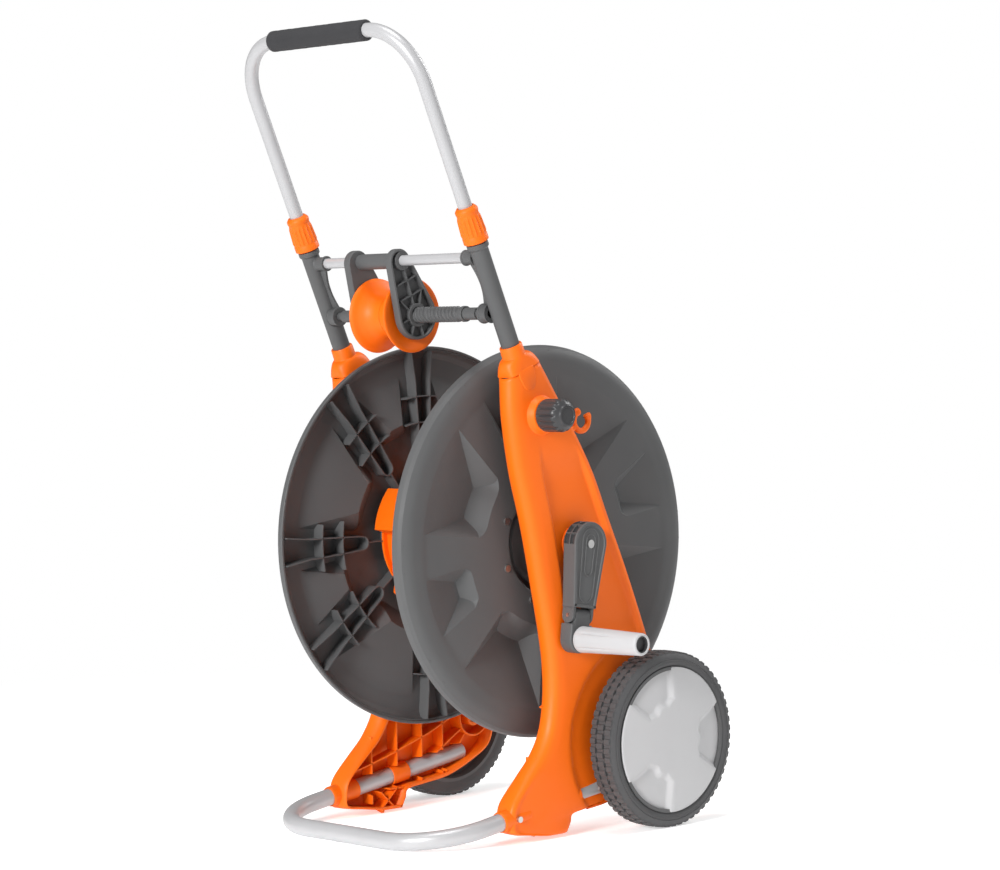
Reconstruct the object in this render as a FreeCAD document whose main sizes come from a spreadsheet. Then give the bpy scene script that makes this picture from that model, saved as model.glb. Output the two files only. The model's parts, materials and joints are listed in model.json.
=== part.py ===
import FreeCAD, Part
import Sketcher
import math
import os

# Garden hose reel cart, in millimetres.
# +X is the crank side, +Y the wheel side, +Z up.  The origin is on the floor, straight below the
# middle of the reel's axis.  Paired pieces are built on the crank side and mirrored across X = 0.

document = FreeCAD.newDocument("HoseReelCart")
sheet = document.addObject("Spreadsheet::Sheet", "Sizes")
Vector = FreeCAD.Vector
Rotation = FreeCAD.Rotation
FULL_TURN = 360
FLUTES = 14
SCREW_TURNS = 34
CLIP_PLACE = 0.2

DRIVING_SIZES = {
    # reel
    "flange_diameter": 450, "floor_clearance": 106.5, "flange_gap": 190, "flange_depth": 16,
    "flange_web": 5, "flange_skin": 3.5, "rim_width": 33, "spoke_depth": 14, "hub_ring_radius": 60,
    "drum_radius": 92, "drum_wall": 3, "shaft_radius": 11, "pipe_bore_radius": 7, "outlet_angle": 20,
    "outlet_length": 20, "flange_screw_radius": 4, "flange_screw_circle": 70,
    # side plates
    "plate_gap": 6, "plate_depth": 42, "plate_wall": 3, "plate_edge_radius": 8, "bush_wall": 3,
    "boss_wall": 6, "axle_boss_radius": 24, "rib_thickness": 2.2,
    # posts and handle
    "post_inset": 14, "post_lean": 23, "post_radius": 10.5, "post_tube_radius": 9.2,
    "handle_tube_radius": 8, "tube_wall": 1.2, "post_length": 132, "collar_radius": 14,
    "cap_depth": 22, "nut_length": 42, "nut_foot_radius": 14.5, "nut_head_radius": 11.5,
    "handle_reach": 385, "handle_corner": 65, "handle_overlap": 57, "foam_length": 162,
    "foam_radius": 12, "collet_wall": 2.2, "plug_length": 10,
    # hose guide
    "screw_height": 48.5, "screw_forward": 4, "cross_height": 114, "screw_radius": 9,
    "cross_radius": 6, "screw_end_radius": 5, "socket_wall": 2.5, "pulley_radius": 43,
    "pulley_core": 24, "guide_width": 82, "guide_plate_thickness": 10, "guide_lobe_radius": 28,
    "guide_eye_radius": 15, "bridge_wall": 3, "guide_offset": -27,
    # wheels
    "wheel_radius": 101.5, "tyre_width": 38, "rim_radius": 86, "wheel_clearance": 9,
    "axle_radius": 5, "axle_behind": 102, "wheel_hub_wall": 9,
    # foot
    "foot_radius": 10, "foot_corner": 80, "foot_reach": 218, "foot_slope": 9, "foot_depth": 97,
    "foot_screw_radius": 3.5,
    # crank
    "crank_length": 108, "crank_depth": 20, "crank_head_radius": 25, "crank_tip_radius": 16,
    "crank_fold_height": 26, "fold_pin_radius": 2.5, "fold_lug_width": 4, "crank_swing": 9,
    "crank_gap": 1.5, "grip_length": 96, "grip_radius": 15, "grip_tip_radius": 12.5,
    "grip_pin_radius": 5, "grip_head_radius": 7, "grip_mouth_depth": 10, "grip_mouth_radius": 8,
    # clamp knobs, water inlet and hose clip
    "knob_radius": 18.5, "knob_length": 34, "knob_drop": 78, "stud_radius": 3, "inlet_length": 34,
    "inlet_radius": 8.5, "clip_radius": 15, "clip_bore_radius": 10.5, "clip_width": 9,
    "clip_reach": 38,
    # fits
    "running_fit": 0.06, "free_gap": 0.4, "bolt_fit": 0.3,
}

for row, (alias, number) in enumerate(DRIVING_SIZES.items(), start=1):
    sheet.set(f"A{row}", alias)
    sheet.set(f"B{row}", str(number))
    sheet.setAlias(f"B{row}", alias)
document.recompute()


class Size:
    """A number together with the spreadsheet expression that it comes from."""

    def __init__(self, number, text):
        self.number = float(number)
        self.text = text

    def __add__(self, other):
        other = as_size(other)
        return Size(self.number + other.number, f"({self.text} + {other.text})")

    def __sub__(self, other):
        other = as_size(other)
        return Size(self.number - other.number, f"({self.text} - {other.text})")

    def __mul__(self, other):
        other = as_size(other)
        return Size(self.number * other.number, f"({self.text} * {other.text})")

    def __truediv__(self, other):
        other = as_size(other)
        return Size(self.number / other.number, f"({self.text} / {other.text})")

    def __radd__(self, other):
        return as_size(other) + self

    def __rsub__(self, other):
        return as_size(other) - self

    def __rmul__(self, other):
        return as_size(other) * self

    def __neg__(self):
        return as_size(0) - self


def as_size(value):
    """A plain number becomes a Size whose expression is that number."""
    if isinstance(value, Size):
        return value
    return Size(value, f"({float(value)!r})")


def cell(alias):
    """The Size held by one cell of the sheet."""
    return Size(sheet.get(alias), f"Sizes.{alias}")


def sine(angle):
    return Size(math.sin(math.radians(angle.number)), f"sin({angle.text})")


def cosine(angle):
    return Size(math.cos(math.radians(angle.number)), f"cos({angle.text})")


def root(value):
    return Size(math.sqrt(value.number), f"sqrt({value.text})")


def bind(thing, path, value):
    """Tie one property of a document object to the sheet."""
    thing.setExpression(path, as_size(value).text)


# ---- sizes that follow from the driving ones -------------------------------------------------

flange_radius = cell("flange_diameter") / 2
reel_height = flange_radius + cell("floor_clearance")
half_gap = cell("flange_gap") / 2
flange_outer = half_gap + cell("flange_depth")
plate_inner = flange_outer + cell("plate_gap")
plate_outer = plate_inner + cell("plate_depth")
wall = cell("plate_wall")
free_gap = cell("free_gap")
running_fit = cell("running_fit")

post_x = plate_outer - cell("post_inset")
lean = cell("post_lean")
post_foot_y = -84
post_foot_z = reel_height + flange_radius - 6.5
post_tube_radius = cell("post_tube_radius")
handle_radius = cell("handle_tube_radius")
rail_end_x = post_x - 26
guide_middle = cell("guide_offset")

axle_y = cell("axle_behind")
axle_z = cell("wheel_radius")
tyre_inner = plate_outer + cell("wheel_clearance")
tyre_outer = tyre_inner + cell("tyre_width")

foot_x = plate_outer - 12
foot_tilt = cell("foot_slope")
foot_radius = cell("foot_radius")

crank_back = plate_outer + cell("crank_gap")
crank_face = crank_back + cell("crank_depth")
swing = cell("crank_swing")
knob_x = plate_outer + 8


def along_post(distance, forward=0):
    """Y and Z of a point on the post's axis; forward moves it square to the axis, to the front."""
    step_y = post_foot_y - distance * sine(lean) - forward * cosine(lean)
    step_z = post_foot_z + distance * cosine(lean) - forward * sine(lean)
    return step_y, step_z


def along_foot(distance):
    """Y and Z of a point on a leg of the foot tube, measured back from its front bar."""
    return distance * cosine(foot_tilt) - cell("foot_reach"), foot_radius + distance * sine(foot_tilt)


def along_crank(distance):
    """Y and Z of a point on the crank arm, measured down from the reel's axis."""
    return -distance * sine(swing), reel_height - distance * cosine(swing)


# ---- turns ------------------------------------------------------------------------------------

UNTURNED = Rotation()
Z_TO_X = Rotation(Vector(0, 1, 0), 90)
X_TO_Z = Rotation(Vector(0, 1, 0), -90)
Y_UP = Rotation(Vector(1, 0, 0), -90)
LEAN = Rotation(Vector(1, 0, 0), lean.number)
LEAN_X_TO_Z = LEAN.multiply(X_TO_Z)
CRANK_TURN = Rotation(Vector(1, 0, 0), -swing.number)
FOOT_TURN = Rotation(Vector(1, 0, 0), 90 + foot_tilt.number)
FOOT_LEG_TURN = Rotation(Vector(1, 0, 0), foot_tilt.number - 90)
OUTLET_TURN = Rotation(Vector(1, 0, 0), 90 + cell("outlet_angle").number)


# ---- building blocks --------------------------------------------------------------------------

def place(thing, at=(0, 0, 0), turn=UNTURNED):
    """Turn a document object and tie its place to the sheet."""
    thing.Placement = FreeCAD.Placement(Vector(*(as_size(value).number for value in at)), turn)
    for letter, value in zip("xyz", at):
        bind(thing, f".Placement.Base.{letter}", value)
    return thing


def cylinder(radius, length, at=(0, 0, 0), turn=UNTURNED):
    thing = document.addObject("Part::Cylinder", "Cylinder")
    bind(thing, "Radius", radius)
    bind(thing, "Height", length)
    return place(thing, at, turn)


def box(length, width, height, at=(0, 0, 0), turn=UNTURNED):
    thing = document.addObject("Part::Box", "Box")
    bind(thing, "Length", length)
    bind(thing, "Width", width)
    bind(thing, "Height", height)
    return place(thing, at, turn)


def joined(*things):
    fused = document.addObject("Part::MultiFuse", "Joined")
    fused.Shapes = list(things)
    return fused


def less(base, *tools):
    """The base with every tool cut away from it."""
    cut = document.addObject("Part::Cut", "Less")
    cut.Base = base
    cut.Tool = tools[0] if len(tools) == 1 else joined(*tools)
    return cut


def ring(outer, inner, length, at=(0, 0, 0), turn=UNTURNED):
    return place(less(cylinder(outer, length), cylinder(inner, length)), at, turn)


def middle_of(edge):
    return edge.valueAt((edge.FirstParameter + edge.LastParameter) / 2)


def new_body(name):
    return document.addObject("PartDesign::Body", name)


def new_sketch(body, plane, height=0):
    """A sketch on one of the body's own origin planes, raised along that plane's normal."""
    sketch = body.newObject("Sketcher::SketchObject", f"{body.Name}Sketch")
    origin_plane = next(item for item in body.Origin.OriginFeatures if item.Role == plane)
    sketch.AttachmentSupport = (origin_plane, [""])
    sketch.MapMode = "FlatFace"
    bind(sketch, ".AttachmentOffset.Base.z", height)
    return sketch


def pin_point(sketch, curve, end, point):
    """Tie one end of a sketch curve to the sheet, measured from the sketch's origin."""
    for kind, value in zip(("DistanceX", "DistanceY"), point):
        value = as_size(value)
        index = sketch.addConstraint(Sketcher.Constraint(kind, -1, 1, curve, end, value.number))
        sketch.setExpression(f"Constraints[{index}]", value.text)


def draw_outline(sketch, points):
    """A closed outline of straight sides through the points."""
    first = sketch.GeometryCount
    corners = [Vector(as_size(u).number, as_size(v).number, 0) for u, v in points]
    count = len(corners)
    for index, corner in enumerate(corners):
        sketch.addGeometry(Part.LineSegment(corner, corners[(index + 1) % count]), False)
    for index in range(count):
        after = first + (index + 1) % count
        sketch.addConstraint(Sketcher.Constraint("Coincident", first + index, 2, after, 1))
    for index, point in enumerate(points):
        pin_point(sketch, first + index, 1, point)


def draw_circle(sketch, centre, radius):
    centre_point = Vector(as_size(centre[0]).number, as_size(centre[1]).number, 0)
    radius = as_size(radius)
    curve = sketch.addGeometry(Part.Circle(centre_point, Vector(0, 0, 1), radius.number), False)
    pin_point(sketch, curve, 3, centre)
    index = sketch.addConstraint(Sketcher.Constraint("Radius", curve, radius.number))
    sketch.setExpression(f"Constraints[{index}]", radius.text)


def pad(body, sketch, length, backwards=False):
    feature = body.newObject("PartDesign::Pad", f"{body.Name}Pad")
    feature.Profile = sketch
    feature.Reversed = backwards
    bind(feature, "Length", length)
    return feature


def pocket(body, sketch, depth, backwards=False):
    feature = body.newObject("PartDesign::Pocket", f"{body.Name}Pocket")
    feature.Profile = sketch
    feature.Reversed = backwards
    bind(feature, "Length", depth)
    return feature


def revolved(name, points):
    """A body turned about its own X axis; each point is (distance along X, radius)."""
    body = new_body(name)
    sketch = new_sketch(body, "XY_Plane")
    draw_outline(sketch, points)
    feature = body.newObject("PartDesign::Revolution", f"{name}Revolution")
    feature.Profile = sketch
    feature.ReferenceAxis = (sketch, ["H_Axis"])
    feature.Angle = FULL_TURN
    return body


def repeated(body, feature, count):
    """Repeat a feature evenly about the body's X axis."""
    pattern = body.newObject("PartDesign::PolarPattern", f"{body.Name}Pattern")
    pattern.Originals = [feature]
    axis = next(item for item in body.Origin.OriginFeatures if item.Role == "X_Axis")
    pattern.Axis = (axis, [""])
    pattern.Angle = FULL_TURN
    pattern.Occurrences = count
    body.Tip = pattern
    return pattern


def body_fillet(body, radius, wanted):
    """Fillet the edges of the body's last feature whose middle point passes the test."""
    document.recompute()
    base = body.Tip
    names = [f"Edge{index}" for index, edge in enumerate(base.Shape.Edges, start=1)
             if wanted(middle_of(edge))]
    fillet = body.newObject("PartDesign::Fillet", f"{body.Name}Fillet")
    fillet.Base = (base, names)
    bind(fillet, "Radius", radius)
    return fillet


pieces = []


def keep(label, thing):
    """Name a finished piece and put it on the list of sub-parts."""
    thing.Label = label
    pieces.append(thing)
    return thing


def keep_pair(name, thing):
    """Keep a crank-side piece as right_NAME and its mirror image as left_NAME."""
    keep(f"right_{name}", thing)
    twin = document.addObject("Part::Mirroring", "Twin")
    twin.Source = thing
    twin.Normal = Vector(1, 0, 0)
    keep(f"left_{name}", twin)


# ---- side plates ------------------------------------------------------------------------------

def plate_outline(inset):
    """The side plate seen from the crank side, as (Y, Z) points, drawn in by the given distance."""
    front_top = along_post(-cell("cap_depth") - 0.2 - inset, 33 - inset)
    foot_y, foot_z = along_foot(cell("foot_reach") - 100)
    waist_z = reel_height - flange_radius
    front = [
        (foot_y - 8 + inset, foot_z - 16 + inset),
        (foot_y - 8 + inset, foot_z + 16 - inset),
        (-62 + inset, waist_z - 14),
        (-42 + inset, waist_z + 28),
        (-37 + inset, waist_z + 52),
        (-49 + inset, waist_z + 120),
        (-80 + inset, reel_height + 54),
        (front_top[0] + 1, front_top[1] - 38),
        front_top,
    ]
    rear = [
        rear_edge_top(inset),
        rear_edge_middle(inset),
        (53 - inset, reel_height + 24),
        (84 - inset, reel_height - 47),
        (axle_y + 20 - inset, axle_z + 86),
        (axle_y + 32 - inset, axle_z + 24),
        (axle_y + 30 - inset, axle_z - 16),
        (axle_y + 8 - inset, axle_z - 42 + inset),
        (axle_y - 46, axle_z - 62 + inset),
        (axle_y - 50, 28 + inset),
        (-10 - inset, 28 + inset),
        (-17 - inset, 0.5 + inset),
        (-54 + inset, 0.5 + inset),
    ]
    return front + rear


def rear_edge_top(inset):
    """The plate's top rear corner, just below the cap."""
    return along_post(-cell("cap_depth") - 0.2 - inset, inset - 26)


def rear_edge_middle(inset):
    """The point of the rear edge where its long straight top run ends."""
    return 22 - inset, reel_height + 94


def make_side_plate():
    """A moulded shell, open towards the reel, with ribs, tube channels and three bearing bosses."""
    body = new_body("SidePlate")
    face = new_sketch(body, "YZ_Plane")
    draw_outline(face, plate_outline(0))
    pad(body, face, cell("plate_depth"))
    body_fillet(body, cell("plate_edge_radius"), lambda point: point.x > cell("plate_depth").number - 0.5)
    hollow = new_sketch(body, "YZ_Plane")
    draw_outline(hollow, plate_outline(wall))
    pocket(body, hollow, cell("plate_depth") - wall, backwards=True)
    for centre, radius in plate_bosses():
        boss = new_sketch(body, "YZ_Plane", 1)
        draw_circle(boss, centre, radius)
        pad(body, boss, cell("plate_depth") - 2)
    for y_low, z_low, y_high, z_high in plate_ribs():
        rib = new_sketch(body, "YZ_Plane", 4)
        draw_outline(rib, rib_outline(y_low, z_low, y_high, z_high))
        pad(body, rib, cell("plate_depth") - 4 - wall / 2)
    place(body, (plate_inner, 0, 0))
    through = cell("plate_depth") * 2
    channel = cell("knob_drop") + 72
    post_y, post_z = along_post(-channel)
    foot_y, foot_z = along_foot(50)
    knob_y, knob_z = along_post(-cell("knob_drop"))
    bored = less(
        body,
        cylinder(cell("shaft_radius") + cell("bush_wall"), through, (plate_inner - 2, 0, reel_height),
                 Z_TO_X),
        cylinder(cell("axle_radius") + 2, through, (plate_inner - 2, axle_y, axle_z), Z_TO_X),
        cylinder(post_tube_radius + 0.5, channel + 50, (post_x, post_y, post_z), LEAN),
        cylinder(foot_radius, cell("foot_reach") + cell("foot_depth") - 40, (foot_x, foot_y, foot_z),
                 FOOT_LEG_TURN),
        cylinder(cell("stud_radius") + cell("bolt_fit"), cell("plate_depth"), (post_x, knob_y, knob_z),
                 Z_TO_X),
    )
    keep_pair("side_plate", bored)


def plate_bosses():
    """Centre and radius of the bosses for the reel's bush, the wheel axle and the clamp knob."""
    knob_y, knob_z = along_post(-cell("knob_drop"))
    return [
        ((0, reel_height), cell("shaft_radius") + cell("bush_wall") + cell("boss_wall")),
        ((axle_y, axle_z), cell("axle_boss_radius")),
        ((knob_y, knob_z), 14),
    ]


def plate_ribs():
    """End points of the plain ribs inside a side plate, as (Y, Z, Y, Z)."""
    waist_z = reel_height - flange_radius
    ribs = [(11 * step - 90, reel_height + 116 - 60 * step, 25 * step - 4, reel_height + 122 - 60 * step)
            for step in range(5)]
    ribs += [(-60, waist_z - 34, axle_y - 30, waist_z + 8), (-20, waist_z - 70, -20, waist_z + 96),
             (34, 30, 34, reel_height - 60), (-38, waist_z + 60, axle_y - 6, waist_z + 96),
             (-50, 3, -22, 26), (-22, 3, -50, 26)]
    return ribs


def rib_outline(y_low, z_low, y_high, z_high):
    """A thin four-sided outline along the line between two points."""
    y_low, z_low, y_high, z_high = (as_size(value) for value in (y_low, z_low, y_high, z_high))
    run_y = y_high - y_low
    run_z = z_high - z_low
    length = root(run_y * run_y + run_z * run_z)
    side_y = run_z / length * cell("rib_thickness") / 2
    side_z = run_y / length * cell("rib_thickness") / 2
    return [(y_low - side_y, z_low + side_z), (y_low + side_y, z_low - side_z),
            (y_high + side_y, z_high - side_z), (y_high - side_y, z_high + side_z)]


def make_post_cap():
    """The cap on top of a side plate, with the collar that the post stands in."""
    skirt = document.addObject("Part::Wedge", "Skirt")
    half_depth = cell("plate_depth") / 2
    depth = cell("cap_depth")
    inset = half_depth - cell("post_inset")
    for name, value in (("Xmin", -half_depth - inset), ("Xmax", half_depth - inset), ("Ymin", 0),
                        ("Ymax", depth - 2), ("Zmin", -26), ("Zmax", 33), ("X2min", -14), ("X2max", 14),
                        ("Z2min", -14), ("Z2max", 14)):
        bind(skirt, name, value)
    # a wedge narrows along its own Y axis, which is turned here to run along the post
    place(skirt, (0, 0, -depth), Rotation(Vector(1, 0, 0), 90))
    solid = joined(skirt, cylinder(cell("post_radius") + 2.6, depth, (0, 0, -depth)))
    bored = less(solid, cylinder(cell("post_radius"), depth, (0, 0, -6)),
                 cylinder(post_tube_radius, depth * 2, (0, 0, -depth - 8)))
    keep_pair("post_cap", place(bored, (post_x, *along_post(0)), LEAN))


# ---- posts ------------------------------------------------------------------------------------

def make_posts():
    """A steel tube that plugs into the side plate, and the moulded sleeve that stands on it."""
    depth = cell("knob_drop") + 12
    height = cell("post_length")
    neck = 15
    tube = less(cylinder(post_tube_radius, height + neck + depth),
                cylinder(handle_radius + running_fit, height + neck + depth),
                cylinder(cell("stud_radius") + cell("bolt_fit"), 40, (-20, 0, 12), Z_TO_X))
    keep_pair("post_tube", place(tube, (post_x, *along_post(-depth)), LEAN))
    cross_z = cell("cross_height")
    screw_z = cell("screw_height")
    screw_y = -cell("screw_forward")
    reach = post_x - rail_end_x
    socket = 12 - reach
    sleeve = joined(
        cylinder(cell("post_radius"), height + 5, (0, 0, -6)),
        cylinder(cell("collar_radius"), 5, (0, 0, height - 5)),
        cylinder(cell("cross_radius") + cell("socket_wall"), reach, (0, 0, cross_z), X_TO_Z),
        cylinder(cell("screw_radius") + 2, reach - 4, (0, screw_y, screw_z), X_TO_Z),
        box(-socket, 3, cross_z - screw_z, (socket, -1.5, screw_z)),
    )
    bored = less(
        sleeve,
        cylinder(post_tube_radius, height + 40, (0, 0, -10)),
        cylinder(cell("cross_radius"), 18, (socket, 0, cross_z), X_TO_Z),
        cylinder(cell("screw_end_radius"), 18, (socket, screw_y, screw_z), X_TO_Z),
    )
    keep_pair("post", place(bored, (post_x, *along_post(0)), LEAN))
    collet = ring(handle_radius + cell("collet_wall"), handle_radius + running_fit, 12,
                  (post_x, *along_post(height + neck)), LEAN)
    keep_pair("collet", collet)


def make_lock_nuts():
    """A fluted clamping nut over the collet on top of each post."""
    length = cell("nut_length")
    foot = cell("nut_foot_radius")
    head = cell("nut_head_radius")
    bore = cell("post_radius") + free_gap
    mouth = handle_radius + free_gap
    body = revolved("LockNut", [
        (0, bore), (0, foot), (8, foot), (length - 6, head + 0.8), (length - 4, head + 1),
        (length - 1, head), (length, head - 1), (length, mouth), (length - 8, mouth), (length - 8, bore),
    ])
    flute = new_sketch(body, "XY_Plane", foot - 1)
    draw_outline(flute, slot(10, length - 10, 1.2))
    cut = pocket(body, flute, 6, backwards=True)
    repeated(body, cut, FLUTES)
    keep_pair("lock_nut", place(body, (post_x, *along_post(cell("post_length") + 0.5)), LEAN_X_TO_Z))


def slot(start, end, half_width):
    """A long rectangle along U, centred on V = 0."""
    return [(start, -half_width), (end, -half_width), (end, half_width), (start, half_width)]


# ---- handle -----------------------------------------------------------------------------------

def u_tube(name, half_width, leg, corner, outer, inner):
    """A tube bent to a U in its own XZ plane, legs down, with the bar's middle at the origin."""
    body = new_body(name)
    path = new_sketch(body, "XZ_Plane")
    half, drop, bend = (as_size(value).number for value in (half_width, leg, corner))
    path.addGeometry(Part.LineSegment(Vector(half, -drop, 0), Vector(half, -bend, 0)), False)
    add_arc(path, Vector(half - bend, -bend, 0), bend, 0, 90)
    path.addGeometry(Part.LineSegment(Vector(half - bend, 0, 0), Vector(bend - half, 0, 0)), False)
    add_arc(path, Vector(bend - half, -bend, 0), bend, 90, 180)
    path.addGeometry(Part.LineSegment(Vector(-half, -bend, 0), Vector(-half, -drop, 0)), False)
    tangent = [Sketcher.Constraint("Tangent", curve, 2, curve + 1, 1) for curve in range(4)]
    path.addConstraint(tangent + [
        Sketcher.Constraint("Vertical", 0), Sketcher.Constraint("Horizontal", 2),
        Sketcher.Constraint("Equal", 1, 3), Sketcher.Constraint("PointOnObject", 2, 1, -1),
    ])
    pin_point(path, 0, 1, (half_width, -leg))
    pin_point(path, 4, 2, (-half_width, -leg))
    index = path.addConstraint(Sketcher.Constraint("Radius", 1, bend))
    path.setExpression(f"Constraints[{index}]", as_size(corner).text)
    section = new_sketch(body, "XY_Plane", -leg)
    draw_circle(section, (half_width, 0), outer)
    draw_circle(section, (half_width, 0), inner)
    pipe = body.newObject("PartDesign::AdditivePipe", f"{name}Pipe")
    pipe.Profile = section
    pipe.Spine = (path, [f"Edge{number}" for number in range(1, 6)])
    return body


def add_arc(sketch, centre, radius, start, end):
    circle = Part.Circle(centre, Vector(0, 0, 1), radius)
    sketch.addGeometry(Part.ArcOfCircle(circle, math.radians(start), math.radians(end)), False)


def make_handle():
    """The telescopic handle: a bent tube with a foam sleeve on its bar and two end plugs."""
    reach = cell("handle_reach")
    leg = reach - cell("post_length") + cell("handle_overlap")
    inner = handle_radius - cell("tube_wall")
    tube = u_tube("HandleTube", post_x, leg, cell("handle_corner"), handle_radius, inner)
    keep("handle_tube", place(tube, (0, *along_post(reach)), LEAN))
    foam = ring(cell("foam_radius"), handle_radius, cell("foam_length"))
    keep("foam_grip", place(foam, (-cell("foam_length") / 2, *along_post(reach)), Z_TO_X))
    plug = cylinder(inner, cell("plug_length"), (post_x, *along_post(reach - leg)), LEAN)
    keep_pair("handle_plug", plug)


# ---- hose guide -------------------------------------------------------------------------------

def make_guide_rails():
    """The plain cross tube and the guide screw below it, both held by the posts."""
    seat = 8
    cross_half = rail_end_x + seat
    cross = ring(cell("cross_radius"), cell("cross_radius") - cell("tube_wall"), cross_half * 2)
    keep("cross_tube", place(cross, (-cross_half, *along_post(cell("cross_height"))), Z_TO_X))
    screw_y, screw_z = along_post(cell("screw_height"), cell("screw_forward"))
    thread_half = rail_end_x - 34
    end = rail_end_x - 3
    tip = cell("screw_end_radius")
    crest = cell("screw_radius")
    valley = crest - 1.5
    pitch = thread_half * 2 / SCREW_TURNS
    profile = [(-end - seat, 0), (-end - seat, tip), (-end, tip), (-end, valley), (-thread_half, valley)]
    for turn in range(SCREW_TURNS):
        start = pitch * turn - thread_half
        profile += [(start + pitch * 0.25, crest), (start + pitch * 0.75, crest), (start + pitch, valley)]
    profile += [(end, valley), (end, tip), (end + seat, tip), (end + seat, 0)]
    keep("guide_screw", place(revolved("GuideScrew", profile), (0, screw_y, screw_z)))


def make_carriage():
    """Two teardrop plates joined by a bridge sleeve on the cross tube."""
    thickness = cell("guide_plate_thickness")
    lobe = cell("guide_lobe_radius")
    eye = cell("guide_eye_radius")
    bridge = cell("cross_radius") + cell("bridge_wall")
    cross_y, cross_z = along_post(cell("cross_height"))
    screw_y, screw_z = along_post(cell("screw_height"), cell("screw_forward"))
    tall = cell("cross_height") - cell("screw_height")
    half = cell("guide_width") / 2
    for label, left_face in (("right_guide_plate", guide_middle + half - thickness),
                             ("left_guide_plate", guide_middle - half)):
        solid = joined(
            cylinder(eye, thickness, (0, 0, tall), Z_TO_X),
            cylinder(lobe, thickness, (0, 0, 0), Z_TO_X),
            teardrop_web(lobe, eye, tall, thickness),
        )
        bored = less(solid, cylinder(bridge, thickness, (0, cell("screw_forward"), tall), Z_TO_X),
                     cylinder(cell("screw_radius") + free_gap, thickness, (0, 0, 0), Z_TO_X))
        keep(label, place(bored, (left_face, screw_y, screw_z), LEAN))
    sleeve = ring(bridge, cell("cross_radius") + running_fit, cell("guide_width"))
    keep("guide_bridge", place(sleeve, (guide_middle - half, cross_y, cross_z), Z_TO_X))


def teardrop_web(lobe, eye, tall, thickness):
    """The flat web between a guide plate's small top eye and its large bottom lobe."""
    body = new_body("Web")
    sketch = new_sketch(body, "YZ_Plane")
    draw_outline(sketch, [(-lobe, 0), (lobe, 0), (eye, tall), (-eye, tall)])
    pad(body, sketch, thickness)
    return body


def make_pulley():
    """The flared hose pulley that turns on the guide screw, in two halves."""
    screw_y, screw_z = along_post(cell("screw_height"), cell("screw_forward"))
    rim = cell("pulley_radius")
    core = cell("pulley_core")
    half = cell("guide_width") / 2 - cell("guide_plate_thickness") - free_gap
    bore = cell("screw_radius") + running_fit
    profile = [(0, bore), (0, core), (half * 0.35, core + 2), (half * 0.65, core + 8), (half * 0.85, rim - 5),
               (half * 0.9, rim), (half, rim), (half, rim - 6), (half - 2, core - 4), (half, core - 8),
               (half, bore)]
    keep("right_pulley_half", place(revolved("PulleyHalf", profile), (guide_middle, screw_y, screw_z)))
    mirrored = [(-along, radius) for along, radius in profile]
    keep("left_pulley_half", place(revolved("PulleyTwin", mirrored), (guide_middle, screw_y, screw_z)))


# ---- reel -------------------------------------------------------------------------------------

def make_flanges():
    """A moulded disc with a raised rim and four large and four small pockets in its outer face."""
    web = cell("flange_web")
    face = cell("spoke_depth")
    depth = cell("flange_depth")
    ring_inner = flange_radius - cell("rim_width")
    hub = cell("hub_ring_radius")
    body = revolved("Flange", [
        (0, cell("shaft_radius")), (0, flange_radius - 3), (3, flange_radius), (depth - 3, flange_radius),
        (depth, flange_radius - 3), (depth, ring_inner + 2), (face, ring_inner - 2), (face, hub + 2),
        (web, hub), (web, cell("shaft_radius")),
    ])
    outer = ring_inner - 4
    wedge_pockets(body, face, face - web, outer, 99, 155, 18)
    wedge_pockets(body, face, face - web, outer, 124, 200, 10)
    for middle in (182, 218):
        wedge_pockets(body, 0, face - cell("flange_skin"), outer, 76, middle, 4, from_inside=True)
    keep_pair("flange", place(body, (half_gap, 0, reel_height)))


def wedge_pockets(body, face, depth, outer, inner, middle_angle, half_angle, from_inside=False):
    """Four wedge-shaped pockets between two radii, repeated about the reel's axis."""
    sketch = new_sketch(body, "YZ_Plane", face)
    angles = [middle_angle - half_angle, middle_angle, middle_angle + half_angle]
    corners = [turned_point(outer, angle) for angle in angles]
    corners += [turned_point(inner, angle) for angle in reversed(angles)]
    draw_outline(sketch, corners)
    feature = pocket(body, sketch, depth, backwards=from_inside)
    repeated(body, feature, 4)


def turned_point(radius, angle):
    angle = as_size(angle)
    return radius * cosine(angle), radius * sine(angle)


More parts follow.
